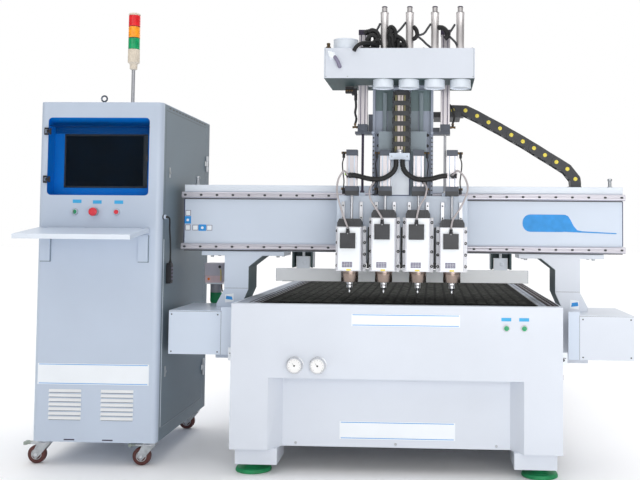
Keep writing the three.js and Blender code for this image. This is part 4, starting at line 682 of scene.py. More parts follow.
def make_pendant():
    (low, high), (front, rear) = (SIDE_FACE + 0.6, SIDE_FACE + 26.4), (102, 148)
    case = fitted("pendant_case", black, 2.5, "side_door")
    case.prism("x", [(front + 5, 907.4), (rear - 5, 907.4), (rear - 0.4, 930), (rear - 0.4, 996),
                     (rear - 8, 1009.8), (front + 8, 1009.8), (front + 0.4, 996), (front + 0.4, 930)],
               (low, high - 3))
    case.prism("x", [(front + 9, 914), (rear - 9, 914), (rear - 7, 998), (front + 7, 998)],
               (high - 4, high - 0.6))
    case.over("pendant")
    keys = fitted("pendant_keys", grey_plastic, 0.8, "side_door")
    for i in range(4):
        for side in SIDES:
            keys.block((high - 0.3, 125 + side * 7.5), (1.1, 5), (980.5 - i * 18, 989.5 - i * 18))
    relief = [(8.5, 1008), (8, 1012), (6.6, 1013), (6.2, 1019), (5.4, 1020), (4.6, 1028), (4.2, 1031)]
    Piece("pendant_strain_relief", "side_door", rubber, 0.3, (*GLAND[:2], 0)).turned(
        "z", (GLAND_REACH - 1, 83), relief, 16)


def make_tower():
    centre = (49.5, 300)
    pole = fitted("tower_pole", satin, 0.6)
    pole.turned("z", centre, [(34.5, 0.5), (34.5, 5), (30, 8), (13, 9), (12, 26), (9, 28), (9, 219)], 28,
                CABINET_TOP)
    for angle in (90, 210, 330):
        pole.bolt("z", 1, (*around(angle, 23, centre), CABINET_TOP + 8), 3.4, 2)
    socket = [(13, 2024), (19.6, 2028), (19.6, 2052), (24, 2058), (30.6, 2062), (30.6, 2130), (29, 2133),
              (27, 2133.4)]
    fitted("tower_base", beige).turned("z", centre, socket, 32).over("tower_light")
    step = 61.0
    for i, (name, look) in enumerate(LAMPS):
        profile = [(27, 0), (30.4, 1)]
        for rib in range(9):
            z = 4 + rib * (step - 9) / 9
            profile += [(30.6, z), (29.2, z + (step - 9) / 18)]
        profile += [(30.4, step - 4), (28, step - 2.4)]
        low = 2134 + step * i
        fitted(f"tower_lens_{name}", look, 0).turned("z", centre, profile, 32, low)
        fitted(f"tower_ring_{name}", black if i < 2 else beige, 0.4).turned(
            "z", centre, [(27.4, -2.8), (29.6, -2), (29.6, 0), (27, 0.4)], 28, low + step)
    fitted("tower_cap", beige, 0.6).turned(
        "z", centre, [(30.6, 2317), (30.6, 2322), (27, 2326), (12, 2327.6)], 32)


def make_lift_eye():
    eye = fitted("lifting_eye_coat", slate, 0.3)
    ring = [around(a, 14, (-9.5, CABINET_TOP + 26)) for a in range(-90, 271, 12)]
    eye.tube([(x, 60, z) for x, z in ring], 4.3, 12)
    eye.turned("z", (-9.5, 60), [(11, 0), (11, 3), (7.5, 5), (6.4, 13)], 20, CABINET_TOP)


def make_shelf_trim():
    """Painted shadow along the shelf brackets' edges, and the lip along the shelf's front in painted
    highlight, drawn level and turned to the shelf's slope.
    """
    # Painted shadow: dark plates peeping out as thin lines round the shelf brackets.
    fitted("shelf_bracket_edge_shadows", shade_and_seam_paint, 0.2).boxes(
        *[((x - 27, x + 27), (-1, 0), (1016, 1150)) for x in (-262, 227)])
    # Painted highlight: the shelf's lip in the lighter paint copy.
    lip = fitted("shelf_lip", paint_highlight, 1.0, "keyboard_shelf")
    lip.box((-300.6, 255.6), (-275.6, -273), (1160.6, 1183.4))
    pivot = Vector((CABINET[0], CABINET[1] - 26, 1172))
    slope = Matrix.Rotation(math.radians(SHELF_SLOPE), 3, "X")
    lip.vertices = [pivot + slope @ (v - pivot) for v in lip.vertices]


def make_casters():
    tread = [(27, -13.8), (36, -14.4), (42, -14), (44.4, -11), (44.9, 0), (44.4, 11), (42, 14), (36, 14.4),
             (27, 13.8)]
    for end, y in (("front", 60), ("rear", 836)):
        for side in SIDES:
            where = f"{end}_{SIDE_NAMES[side]}"
            wheel, fork = f"caster_wheel_{where}", f"caster_fork_{where}"
            at = (CABINET[0] + side * 262.5 - 40, CABINET[1] + y, 0)
            Piece(f"wheel_{where}", wheel, wheel_brown, 0, at).turned("y", (0, 65), tread, 40).over(wheel)
            hub = Piece(f"wheel_hub_{where}", wheel, zinc, 0.3, at)
            axle = Piece(f"caster_fasteners_{where}", fork, steel, 0.4, at)
            for facing in SIDES:
                hub.turned("y", (0, 65), [(27, 13.2), (25, 14.6), (16, 12), (12, 15)], 28, facing=facing)
                axle.turned("y", (0, 65), [(9, 19.3), (9, 23), (7.5, 24.5)], 6, facing=facing)
            axle.turned("z", (40, 0), [(26, 118), (30, 121), (30, 126), (22, 133)], 28)
            Piece(f"caster_pedal_{where}", fork, caster_grey, 1.5, at).boxes(
                ((-64.6, -28), (-17.6, 17.6), (114.5, 123.6)),
                ((-64.6, -48), (-17.9, 17.9), (110, 126)))


for make in (make_window, make_display, make_controls, make_front, make_cabinet_side, make_pendant,
             make_tower, make_lift_eye, make_shelf_trim, make_casters):
    make()

# The bed and its table
TABLE_X, TABLE_Y, TABLE_TOP = (-645.0, 665.0), (50.0, 3050.0), 836.0
BORDER_TOP = 831
PAD_PITCH, PAD_HALF, PAD_RIM, PAD_LIFT = 50.0, 19.0, 17.0, 2.4
CORNERS = ((-1, -1), (1, -1), (1, 1), (-1, 1))


def on_bed(name, look, bevel=0.8):
    return Piece(name, "bed", look, bevel)


def make_table():
    """Raised pads on a square pitch, as a routed vacuum table has, with its borders and their spots; the
    black spots are painted shade in holes.
    """
    pads = on_bed("table_pads", table_dark, 0.0)
    places = []
    for low, high in (TABLE_X, TABLE_Y):
        count = int((high - low - 20) / PAD_PITCH)
        first = (low + high) / 2 - count * PAD_PITCH / 2
        places.append([first + (i + 0.5) * PAD_PITCH for i in range(count)])
    for x in places[0]:
        for y in places[1]:
            base = [(x + u * PAD_HALF, y + v * PAD_HALF, TABLE_TOP) for u, v in CORNERS]
            top = [(x + u * PAD_RIM, y + v * PAD_RIM, TABLE_TOP + PAD_LIFT) for u, v in CORNERS]
            pads.add(base + top, [(0, 1, 5, 4), (1, 2, 6, 5), (2, 3, 7, 6), (3, 0, 4, 7), (4, 5, 6, 7)])
    low = BORDER_TOP
    on_bed("table_side_strip", table_edge, 0.4).box((716, 773), (60, 3040), (low, low + 2.4))
    on_bed("table_left_border", table_grey, 0.2).boxes(
        *[(x, (54, 3046), (low, low + 0.8)) for x in ((-770, -652), (672, 716))])
    on_bed("table_edge_profile", chain_grey, 0.5).boxes(
        *[(x, (52, 3048), (low, low + 4.4)) for x in ((-652, -645.4), (665.4, 672))])
    specks = on_bed("table_border_specks", table_edge, 0.0)
    for i, x in enumerate((-663, -686, -709)):
        half = 9.5 - i * 2
        for k in range(118):
            specks.block((x, 70 + k * 25 + (i % 2) * 12), (half, half), (low + 0.4, low + 1.4))
    # Painted shade: black discs for the holes along the side strip.
    spots = on_bed("table_side_hole_shade", black, 0.3)
    lights = on_bed("table_side_lights", rail_steel, 0.2)
    for k in range(60):
        along = k * 50
        spots.rod("z", 6, (low, low + 1.6), (696, 80 + along), 10)
        lights.rod("z", 5, (low + 2, low + 3.2), (734, 70 + along), 8)
        lights.rod("z", 4, (low + 2, low + 3.2), (756, 95 + along), 8)


def make_bed_plates():
    on_bed("bed_plate_upper", white, 0.4).box((-209, 302), (-1.4, 0), (733, 790))
    on_bed("bed_plate_lower", white, 0.4).box((-269, 284), (88.4, 90), (184, 269))
    on_bed("bed_plate_rules", sky, 0.2).boxes(
        *[((-204, 297), (-1.9, -1), (z, z + 3)) for z in (736, 784)],
        *[((-263, 278), (87.9, 89), (z, z + 3)) for z in (188, 262)])
    screws = on_bed("recess_screws", zinc, 0.3)
    for x in (-480, 0, 480):
        screws.bolt("y", -1, (x, 90, 163), 6.5, 4)


def make_gauges():
    case = [(41, -0.3), (41, -4), (38, -5), (37.6, -26), (36, -29.6), (32.5, -29.6), (31.5, -26)]
    for name, x in (("left", -474.0), ("right", -365.0)):
        middle = (x, 546)
        on_bed(f"gauge_case_{name}", steel, 0.5).turned("y", middle, case, 40).over(f"vacuum_gauge_{name}")
        on_bed(f"gauge_dial_{name}", dial_white, 0.2).rod("y", 32.4, (-24.6, -26.2), middle, 40)
        marks = on_bed(f"gauge_marks_{name}", black, 0.0)
        for k in range(11):
            u, v = around(225 - 27 * k, 26.5, middle)
            marks.box((u - 1, u + 1), (-26.9, -26.1), (v - 1, v + 1))
        marks.turned("y", middle, [(4, -26), (4, -28), (2, -28.6)], 16)
        marks.prism("y", [(x - 1.6, 546), (x + 1.2, 544.6), (x - 14, 563)], (-27.8, -26.8))


def make_start_buttons():
    for name, x in (("left", 519.0), ("right", 602.0)):
        on_bed(f"start_ring_{name}", zinc, 0.5).turned(
            "y", (x, 731), [(17.4, 0), (17.4, -3), (16, -5.6), (12.6, -5.6)], 28)
        button = f"start_button_{name}"
        Piece(f"start_head_{name}", button, green, 0.3).turned(
            "y", (x, 731), [(11.7, 2), (11.7, -7.6), (10, -9), (4, -9.3)], 28).over(button)
        on_bed(f"start_label_{name}", cyan, 0.3).box((x - 24, x + 22), (-1, 0), (764, 780))


def make_feet():
    pad = [(80, 20), (86, 21), (87, 25), (86, 31), (84, 32.5), (84.5, 34), (82, 38), (74, 39.5), (50, 41),
           (44, 44), (38, 51), (26, 52)]
    thread = [(25, 50), (25, 55), (22, 56)]
    for k in range(5):
        thread += [(12, 57 + k * 2.6), (10.4, 58.3 + k * 2.6)]
    for side in SIDES:
        for y, end in ((130, "front"), (2970, "rear")):
            where, centre = f"{end}_{SIDE_NAMES[side]}", (side * 689, y)
            on_bed(f"foot_pad_{where}", pad_green, 0.0).turned("z", centre, pad, 48).over(
                f"levelling_foot_{where}")
            stem = on_bed(f"foot_stem_{where}", zinc, 0.4).turned("z", centre, thread + [(12, 70.6)], 24)
            stem.turned("z", centre, [(22, 57), (24, 58), (24, 69), (22, 70.4)], 6)


def make_side_rails():
    stop = on_bed("side_rail_stops", white, 1.5)
    pin = on_bed("side_rail_stop_pins", black, 0.4)
    for side in SIDES:
        stop.box((side * 776, side * 816), (90, 99.6), (549, 610))
        pin.turned("y", (side * 796, 574), [(7, 90), (7, 86), (4.5, 85)], 18)
        pin.box((side * 782, side * 810), (89, 90.4), (582, 585))


# The gantry: rails, stickers, legs, drive boxes, pump and push bar brackets
GANTRY = 8.0
BEAM_HALF, BEAM_FRONT = 1130.0, 360.0
RAIL_PITCH, RAIL_BOLTS = 83, 28


def on_gantry(name, look, bevel=0.8, body="gantry"):
    return Piece(name, body, look, bevel)


def reach(side, *distances):
    """Places at distances to one side of the gantry's middle."""
    return tuple(GANTRY + side * distance for distance in distances)


def make_rails():
    ends = (GANTRY - BEAM_HALF - 9.6, GANTRY + BEAM_HALF + 9.6)
    outline = [(359.6, 0), (345, 0), (340, 5), (337, 6), (336.7, 11), (339, 14), (339, 19), (336.7, 22),
               (337, 27), (340, 28), (345, 33), (359.6, 33)]
    for name, low in (("upper", 1343.0), ("lower", 1076.0)):
        on_gantry(f"x_rail_profile_{name}", rail_steel).prism(
            "x", [(y, low + up) for y, up in outline], ends).over(f"x_rail_{name}")
        bolts = on_gantry(f"x_rail_bolts_{name}", chain_grey, 0.0)
        for i in range(RAIL_BOLTS):
            centre = (GANTRY + (i - (RAIL_BOLTS - 1) / 2) * RAIL_PITCH, low + 16.5)
            bolts.turned("y", centre, [(7.2, 339), (7.2, 337.2), (5, 336.9), (4, 336.9)], 14)
        # Painted shadow: a dark strip on the beam just under each rail, where the rail's shadow falls.
        on_gantry(f"x_rail_shadow_{name}", chain_grey, 0.2).box(
            (ends[0] + 12, ends[1] - 12), (356, 359.5), (low - 5, low - 0.6))


def make_beam_trim():
    # Painted highlight: the lit top band of the beam in a lighter copy of the paint.
    on_gantry("beam_top_lit_band", paint_highlight, 0.5).box(
        (GANTRY - BEAM_HALF + 1, GANTRY + BEAM_HALF - 1), (358.6, BEAM_FRONT), (1380, 1412))
    on_gantry("beam_end_edges", navy, 0.5).boxes(
        *[(reach(side, BEAM_HALF - 3, BEAM_HALF + 1.2), (358.8, 362), (1112, 1340))
          for side in SIDES])
    stubs = on_gantry("beam_oil_stubs", zinc, 0.4)
    stub = [(14, 0), (14, 8), (9, 9), (9, 37), (12, 39), (12, 49), (6, 52)]
    for x in (-1086.0, 1096.0):
        stubs.turned("z", (x, 475), stub, 12, 1413)
    edge = on_gantry("beam_label_edges", grey_plastic, 0.2)
    bare = on_gantry("beam_labels_white", white, 0.2)
    for (left, right), (low, high) in (((-1116, -1088), (1251, 1280)), ((-1116, -1088), (1175, 1205)),
                                       ((-1078, -1047), (1175, 1204)), ((-1004, -974), (1175, 1204))):
        edge.box((left, right), (359.3, 360), (low, high))
        bare.box((left + 3, right - 3), (358.8, 359.6), (low + 3, high - 3))
    on_gantry("beam_labels_blue", sky, 0.2).boxes(
        ((-1121, -1086), (358.9, 360), (1210, 1249)), ((-1046, -1006), (358.9, 360), (1173, 1206)))
    spot = on_gantry("beam_label_spots", white, 0.2)
    for centre in ((-1103, 1229), (-1026, 1189)):
        spot.turned("y", centre, [(7, 359), (7, 358.4)], 20)
    plate = on_gantry("beam_right_plate", sky, 0.4)
    plate.prism("y", rounded((630, 872), (1183, 1272), 40), (358.9, 360))
    plate.prism("y", [(820, 1185), (1106, 1175), (1106, 1180), (932, 1188), (908, 1193), (890, 1214),
                      (873, 1247), (862, 1264), (846, 1271.6), (820, 1272)], (358.6, 360))


def make_legs():
    """Painted shade on the inner faces, seam lines and bare stickers of the legs."""
    for side in SIDES:
        name = SIDE_NAMES[side]
        outline = [(GANTRY + side * u, z) for u, z in (
            (717, 1046), (788, 990), (788, 873), (820, 800), (820, 592), (819, 592), (819, 800), (787, 873),
            (787, 989), (717, 1043))]
        # Painted shade: the leg's inner face in a dark copy of the paint.
        on_gantry(f"leg_inner_{name}", leg_shade, 0.3).prism("y", outline[::-side], (361, 564))
        on_gantry(f"leg_seams_{name}", chain_grey, 0.1).box(
            reach(side, 790, 912), (359.7, 361), (878, 879.4))
        low, high = (804, 851) if side < 0 else (790, 840)
        near, far, inner, outer, slant, end = reach(side, 864, 908, 868, 905, 902, 872)
        on_gantry(f"leg_label_{name}", white, 0.2).prism(
            "y", [(near, low + 6), (far, low), (far, high - 6), (near, high)], (359, 360.4))
        on_gantry(f"leg_label_band_{name}", sky, 0.1).prism(
            "y", [(inner, low + 14), (outer, low + 18), (slant, high - 12), (end, high - 16)],
            (358.6, 360))
        on_gantry(f"leg_front_cover_{name}", paint, 0.5).box(
            reach(side, 822, 876), (150.4, 152.6), (567, 799))
        bolts = on_gantry(f"leg_flange_bolts_{name}", zinc, 0.3)
        for x in reach(side, 640, 755, 870, 985):
            for y in (385, 540):
                bolts.turned("z", (x, y), [(9, 1047), (9, 1040), (7.5, 1038)], 6)
        lines = on_gantry(f"drive_box_seams_{name}", chain_grey, 0.1).boxes(
            (reach(side, 876.4, 1135), (149.7, 151), (776, 777.2)),
            (reach(side, 875.2, 876.4), (149.8, 151.2), (567, 781)))
        for z in (580, 762):
            for x in reach(side, 892, 1122):
                lines.bolt("y", -1, (x, 150, z), 3.6, 2)


def make_pump():
    """Oil pump, measured from the side of the leg that it hangs on and from its own front."""
    leg_side, front = GANTRY - 970, 565.3

    def pump(name, look, bevel):
        return Piece(name, "gantry", look, bevel, (leg_side, front, 0))

    pump("pump_case", lilac, 2.0).boxes(
        ((-103.5, 0), (0, 110), (930, 997.5)), ((-5, 108), (0, 6), (898, 998))).over("oil_pump")
    pump("pump_front", pink, 1.0).box((-100, -4), (3, 107), (892, 931))
    pump("pump_spot", orange, 0.4).turned("y", (-80, 912), [(7, 3), (7, -0.2), (5, -1)], 18)
    pump("pump_gauge", black, 0.4).turned("y", (-20, 978), [(8, 1), (8, -1), (6, -2)], 18)
    pump("pump_flange", white, 0.8).box((-98, -6), (8, 102), (884, 892.5))
    middle = (-52, 55)
    pump("pump_tank_top", pump_grey, 0.5).turned("z", middle, [(31, 886), (30.5, 838), (31, 836)], 32)
    pump("pump_tank_bowl", pad_green, 0.5).turned(
        "z", middle, [(31, 837), (31, 790), (27, 780), (18, 775.4)], 32)
    pump("pump_tubes", brass, 0.0).tube(smooth_route(
        [(-12, 20, 890), (-11, 20, 862), (-4, 22, 842), (30, 30, 838)]), 3, 8)
    pump("pump_sight_tube", yellow, 0.0).tube(smooth_route(
        [(-14, -2, 964), (-12, -4, 930), (-14, -1, 902)]), 2.6, 8)


def make_push_bar():
    # Painted shade on the brackets' backs, painted highlight on their inner plates.
    backs = on_gantry("push_bar_shaded_brackets", green_painted_shade)
    inner = on_gantry("push_bar_bracket_plates", paint_highlight, body="push_bar")
    ends = on_gantry("push_bar_ends", navy, 0.4, "push_bar")
    for side in SIDES:
        x = GANTRY + side * 518
        for end in SIDES:
            backs.box((x + end * 54.6, x + end * 45.4), (423.2, 424.4), (985, 1068))
            backs.box((x + end * 44.6, x + end * 45.8), (424, 515), (985.6, 1068))
        backs.box((x - 45, x + 45), (514, 515.6), (985, 1068))
        inner.box((x - 33, x + 33), (454.2, 455.6), (980, 1043.6))
        inner.turned("y", (x + 6, 1012), [(11, 454.4), (11, 452), (8, 450.4)], 20)
        ends.box(reach(side, 658, 661.6), (454.4, 485.6), (913.4, 978.6))
    # Painted light: a near-white skin on the bar's front face.
    on_gantry("push_bar_lit_face", bar_lit_paint, 0.4, "push_bar").box(
        reach(1, -660, 660), (454.1, 455), (914, 978))
    on_gantry("push_bar_pads", rubber, 0.8, "push_bar").boxes(
        *[(reach(1, k * 150 - 30, k * 150 + 30), (457, 483), (911, 913.4)) for k in range(-4, 5)])


for make in (make_table, make_bed_plates, make_gauges, make_start_buttons, make_feet, make_side_rails,
             make_rails, make_beam_trim, make_legs, make_pump, make_push_bar):
    make()

# The carriage: column, manifold, gates, balance cylinders and chains, measured from its middle
CARRIAGE = 17.0
PORT_OUT, PORT_Y, GATE_Y = (-90.0, 34.0, 158.0, 282.0), 55.0, 120.0
MANIFOLD_X, MANIFOLD_LOW, MANIFOLD_TOP = (-372, 349), 1910, 2055
BALANCE_OUT, BALANCE_Y = (-200.0, 212.0), 225.0
X_CHAIN = [(270.0, 1818.0), (338, 1816), (399, 1787), (459, 1754), (519, 1722), (578, 1688), (638, 1654),
           (696, 1619), (753, 1583), (812, 1547), (869, 1511), (910, 1459), (913, 1433.3)]
X_CHAIN_Y, X_CHAIN_HALF, X_CHAIN_PLATE = (430.0, 500.0), 27.0, 7.0
Z_CHAIN_X, Z_CHAIN_Z = (-51.0, 41.0), (1564.0, 1883.0)
# Hoses of the dust gates by thickness, and their jointed leads, as listed points of the bed's frame
GATE_HOSES = [
    (10, [(-210, -12, 2040), (-200, -6, 2060), (-175, 10, 2080), (-133, 50, 2090), (-100, 90, 2084)]),
    (12, [(-152, 96, 2152), (-132, 100, 2164), (-108, 104, 2152), (-98, 108, 2122)]),
    (11, [(-158, 80, 2108), (-136, 84, 2136), (-112, 90, 2126), (-104, 96, 2092), (-110, 104, 2062)]),
    (9, [(-132, 70, 2062), (-124, 76, 2100), (-100, 84, 2112), (-90, 92, 2090)]),
    (12, [(-54, 112, 2168), (-38, 108, 2182), (-20, 104, 2158), (-22, 100, 2118), (-40, 100, 2086),
          (-44, 104, 2060)]),
    (11, [(-50, 90, 2140), (-34, 90, 2128), (-30, 94, 2092), (-14, 98, 2062)]),
    (11, [(-20, 100, 2140), (10, 96, 2122), (26, 92, 2098), (18, 96, 2062)]),
    (9, [(-8, 84, 2062), (2, 84, 2094), (20, 88, 2084), (24, 92, 2060)]),
    (11, [(70, 112, 2184), (82, 108, 2170), (88, 104, 2148), (82, 106, 2130), (68, 112, 2122)]),
    (14, [(-46, 108, 2064), (-42, 104, 2100), (-46, 100, 2140), (-38, 100, 2166)]),
    (13, [(-28, 112, 2064), (-22, 110, 2096), (-30, 108, 2128), (-18, 106, 2146)]),
    (12, [(-6, 114, 2064), (0, 112, 2088), (-8, 110, 2112), (8, 108, 2128)]),
    (12, [(16, 114, 2062), (16, 112, 2084), (20, 110, 2100), (30, 114, 2084)]),
    (13, [(-172, 114, 2150), (-152, 112, 2160), (-128, 112, 2152), (-114, 114, 2122), (-108, 114, 2066)]),
    (12, [(-178, 108, 2088), (-152, 106, 2102), (-128, 106, 2092), (-110, 108, 2070)]),
    (12, [(-188, 104, 2068), (-162, 104, 2076), (-140, 104, 2070), (-122, 106, 2064)]),
    (11, [(-158, 114, 2066), (-150, 112, 2104), (-146, 110, 2146)]),
    (13, [(192, 112, 2180), (214, 106, 2176), (232, 100, 2156), (236, 98, 2134), (222, 100, 2122)]),
]
GATE_LEADS = [
    [(-112, 100, 2160), (-102, 104, 2180), (-94, 110, 2200)],
    [(-18, 100, 2146), (4, 104, 2168), (18, 108, 2186), (32, 114, 2206)],
    [(86, 104, 2138), (120, 104, 2148), (140, 108, 2176), (154, 114, 2198)],
    [(86, 104, 2138), (114, 102, 2116), (132, 104, 2098), (152, 108, 2082), (166, 112, 2062)],
    [(238, 100, 2140), (256, 104, 2166), (272, 110, 2194)],
    [(238, 100, 2140), (258, 102, 2122), (276, 106, 2104), (284, 110, 2088)],
]


def carried(name, look, bevel=0.8, body="carriage", x=0.0, y=0.0):
    """Piece measured from the middle of the carriage, or from a place to its side and rear."""
    return Piece(name, body, look, bevel, (CARRIAGE + x, y, 0))


def make_column():
    # Painted shade: the column's backing, its upper backing under the manifold and its rails are darker
    # shaded tones.
    carried("column_backing", slide_shade, 0.3).box((-76, 76), (269.2, 270), (1060, 1896))
    carried("column_upper_backing", column_upper_painted_shade, 0.3).box((-140, 140), (268.6, 270), (1790, 1896))
    rails = carried("column_rails", rail_shade)
    bolts = carried("column_bolts", black, 0.3)
    plates = carried("balance_side_plates", slate).boxes(
        ((-174, -153), (238, 262), (1677.2, 1768)), ((153, 186), (240, 262), (1677.2, 1702)))
    for side in SIDES:
        x = side * 92
        outline = [(x - 10.4, 270), (x - 10.4, 260), (x - 7.4, 257.5), (x - 10.4, 255.5), (x - 8.6, 254.4),
                   (x + 8.6, 254.4), (x + 10.4, 255.5), (x + 7.4, 257.5), (x + 10.4, 260), (x + 10.4, 270)]
        rails.prism("z", outline, (1089.5, 1880.5))
        for z in (1612, 1666):
            bolts.bolt("y", -1, (side * 124, 270, z), 8, 6)
        for k in range(17):
            bolts.turned("y", (side * 147, 1320 + k * 22), [(4.2, 245), (4.2, 243.4), (2.4, 243.2)], 10)
        span = (side * 154, side * 237.4)
        plates.boxes((span, (197.4, 268), (1664.3, 1665.2)), (span, (197.2, 198.4), (1664.3, 1676.9)),
                     ((span[1], span[1] - side), (198, 268), (1664.3, 1676.9)))
    carried("column_hose_loop", rubber, 0.0).tube(smooth_route(
        [(233, 224, 1816), (245, 216, 1800), (254, 216, 1772), (257, 216, 1742), (249, 216, 1718),
         (251, 216, 1704)]), 5.5, 10)


def make_manifold():
    left, right = MANIFOLD_X[0] + 1, MANIFOLD_X[1] - 1
    skin = (MANIFOLD_LOW - 1.4, MANIFOLD_LOW)
    # Painted shade: a dark skin on the manifold's underside.
    under = carried("manifold_shaded_underside", green_painted_shade, 0.5).box((left, right), (1, 198), skin)
    for side, edge, tube in zip(SIDES, (left, right), BALANCE_OUT):
        under.boxes(((edge, tube + side * 27), (198, 252), skin), ((edge, side * 156), (252, 359), skin))
    # Painted highlight on the port sleeves and rims.
    ports = carried("manifold_port_sleeves", paint_highlight, 0.5)
    rims = carried("manifold_port_rims", paint_highlight, 0.4)
    for x in PORT_OUT:
        ports.turned("z", (x, PORT_Y), [(49.6, 1909), (49.6, 1875), (46.5, 1875), (46.5, 1909)], 40)
        rims.turned("z", (x, PORT_Y), [(50.2, 1875.5), (50.2, 1870), (46, 1869.6), (45.6, 1874)], 40)
    screws = carried("manifold_screws", zinc, 0.2)
    for x in (MANIFOLD_X[0] + 10, -258, 340):
        screws.bolt("y", -1, (x, 0, 1918), 3, 1.6)
    for x in (-368, 104, 338):
        screws.bolt("z", 1, (x, 20, MANIFOLD_TOP), 5, 6)
    carried("manifold_seams", shade_and_seam_paint, 0.1).boxes(
        ((343, 344.4), (-0.4, 2), (1912, 2053)), ((-367.4, -366), (-0.4, 2), (1912, 2053)))
    fitting = carried("manifold_white_fitting", white, 0.6).turned(
        "y", (-333, 2018), [(20, 0), (20, -6), (17, -8), (17, -20), (13, -24)], 6)
    fitting.turned("x", (-12, 2030), [(9, -352), (9, -335), (7, -333)], 14)
    bend = [(-325, -14, 2014), (-315, -16, 2004), (-305, -14, 1988), (-297, -10, 1968), (-295, -4, 1962)]
    carried("manifold_elbow", grey_plastic, 0.0).tube(smooth_route(bend), 9, 12)
    small = carried("manifold_brass_fitting", brass, 0.3, x=-353, y=16)
    small.turned("z", (0, 0), [(12, 0), (12, 9), (8, 11), (8, 21)], 6, MANIFOLD_TOP)
    small.turned("z", (0, 0), [(9, 19), (9, 25), (6, 27)], 16, MANIFOLD_TOP)
    # Painted highlight on the outlet ring.
    carried("manifold_outlet_ring", paint_highlight, 0.6).turned(
        "z", (-275, 75), [(60.5, 2055.5), (60.5, 2099), (59, 2101), (61, 2104), (61, 2107.6), (55.6, 2107.6),
                          (55.6, 2060)], 44)


def make_gates():
    """Polished lift cylinders of the dust gates, with their caps, hoses and jointed leads."""
    tubes = carried("gate_cylinders", polished, 0.5)
    caps = carried("gate_caps", polished, 0.5)
    rims = carried("gate_cap_rims", purple_cap, 0.3)
    for x in PORT_OUT:
        centre = (x, GATE_Y)
        tubes.turned("z", centre, [(21, 2055.4), (21, 2062), (19.6, 2064), (19.6, 2246), (20.6, 2248),
                                   (20.6, 2256), (14, 2257.6)], 36)
        tubes.rod("z", 10, (2257, 2281), centre, 24)
        caps.rod("z", 13.5, (2258, 2282), centre, 24)
        rims.turned("z", centre, [(13.8, 2280), (13.8, 2284), (12, 2286), (9, 2286), (9, 2283)], 24)
        rims.rod("z", 14.4, (2257, 2260), centre, 24)
    ribbed = Piece("gate_ribbed_hoses", "carriage", rubber, 0.0)
    for radius, route in GATE_HOSES:
        ribbed.tube(smooth_route(route), radius, 14, 1.6, 6)
    jointed = Piece("gate_jointed_leads", "carriage", chain_grey, 0.0)
    for route in GATE_LEADS:
        jointed.tube(smooth_route(route), 6.5, 10, 2.2, 8)


def make_balance():
    """Profiled cylinders at the column's sides with end caps, elbows, valve and rods."""
    for side, out in zip(SIDES, BALANCE_OUT):
        name = SIDE_NAMES[side]

        def own(kind, look, bevel, body="carriage"):
            return carried(f"balance_{kind}_{name}", look, bevel, body, out, BALANCE_Y)

        own("tube", silver, 0.6).prism("z", four_faced(22.6, 8.5, 13, 2.4), (1713, 2165)).over(
            f"balance_cylinder_{name}")
        # Painted shade: dark strips down the tube's grooves.
        own("tube_groove_shade", grey_plastic, 0.0).boxes(
            *[((u - 1.6, u + 1.6), (-21.4, -20.6), (1714, 2164)) for u in (-10.75, 10.75)])
        own("top_cap", purple_cap, 1.2).block((0, 0), (24.8, 24.8), (2164.4, 2190.6))
        low = own("low_cap", slate, 1.2).block((0, 0), (24.8, 24.8), (1677.4, 1714))
        for u in SIDES:
            for z in (1686, 1705):
                low.bolt("y", -1, (u * 17, -24.8, z), 3, 1.4)
        # Painted shade: the left rod takes the dark cap colour and the right one satin steel, though both
        # rods are alike.
        rod = own("rod", purple_cap if side < 0 else satin, 0.2, "z_slide")
        rod.turned("z", (0, 0), [(7.4, 1373), (6.5, 1376), (6.5, 1763)], 18)
        rod.turned("z", (0, 0), [(11, 1371.6), (11, 1380), (8, 1382)], 6)
        elbow = own("elbow", brass, 0.3)
        arm = [(6.5, 25), (6.5, 33), (4.6, 34), (4.6, 45), (6, 46), (6, 52)]
        elbow.turned("x", (-8, 1700), arm, 14, 0, side)
        elbow.turned("z", (side * 39, -8), [(4.6, 1700), (4.6, 1710), (6, 1712), (6, 1719)], 12)
    valve = carried("valve_block", black, 1.0, x=-224, y=BALANCE_Y).boxes(
        ((-66, -24), (-14, 14), (1872, 1904)), ((-34, -8), (-10, 18), (1864, 1896)))
    valve.turned("z", (-14, 0), [(8, 1836), (8, 1866), (11, 1868)], 12)
    valve.tube(smooth_route([(-14, -4, 1842), (-12, -2, 1806), (-16, 0, 1774), (-10, 0, 1744),
                             (-15, -6, 1716)]), 6, 10)
    plugs = carried("valve_brass", brass, 0.3, x=-224, y=BALANCE_Y)
    for x in (-58, -45, -32):
        plugs.turned("y", (x, 1884), [(5, -13), (5, -20), (3.4, -21)], 10)


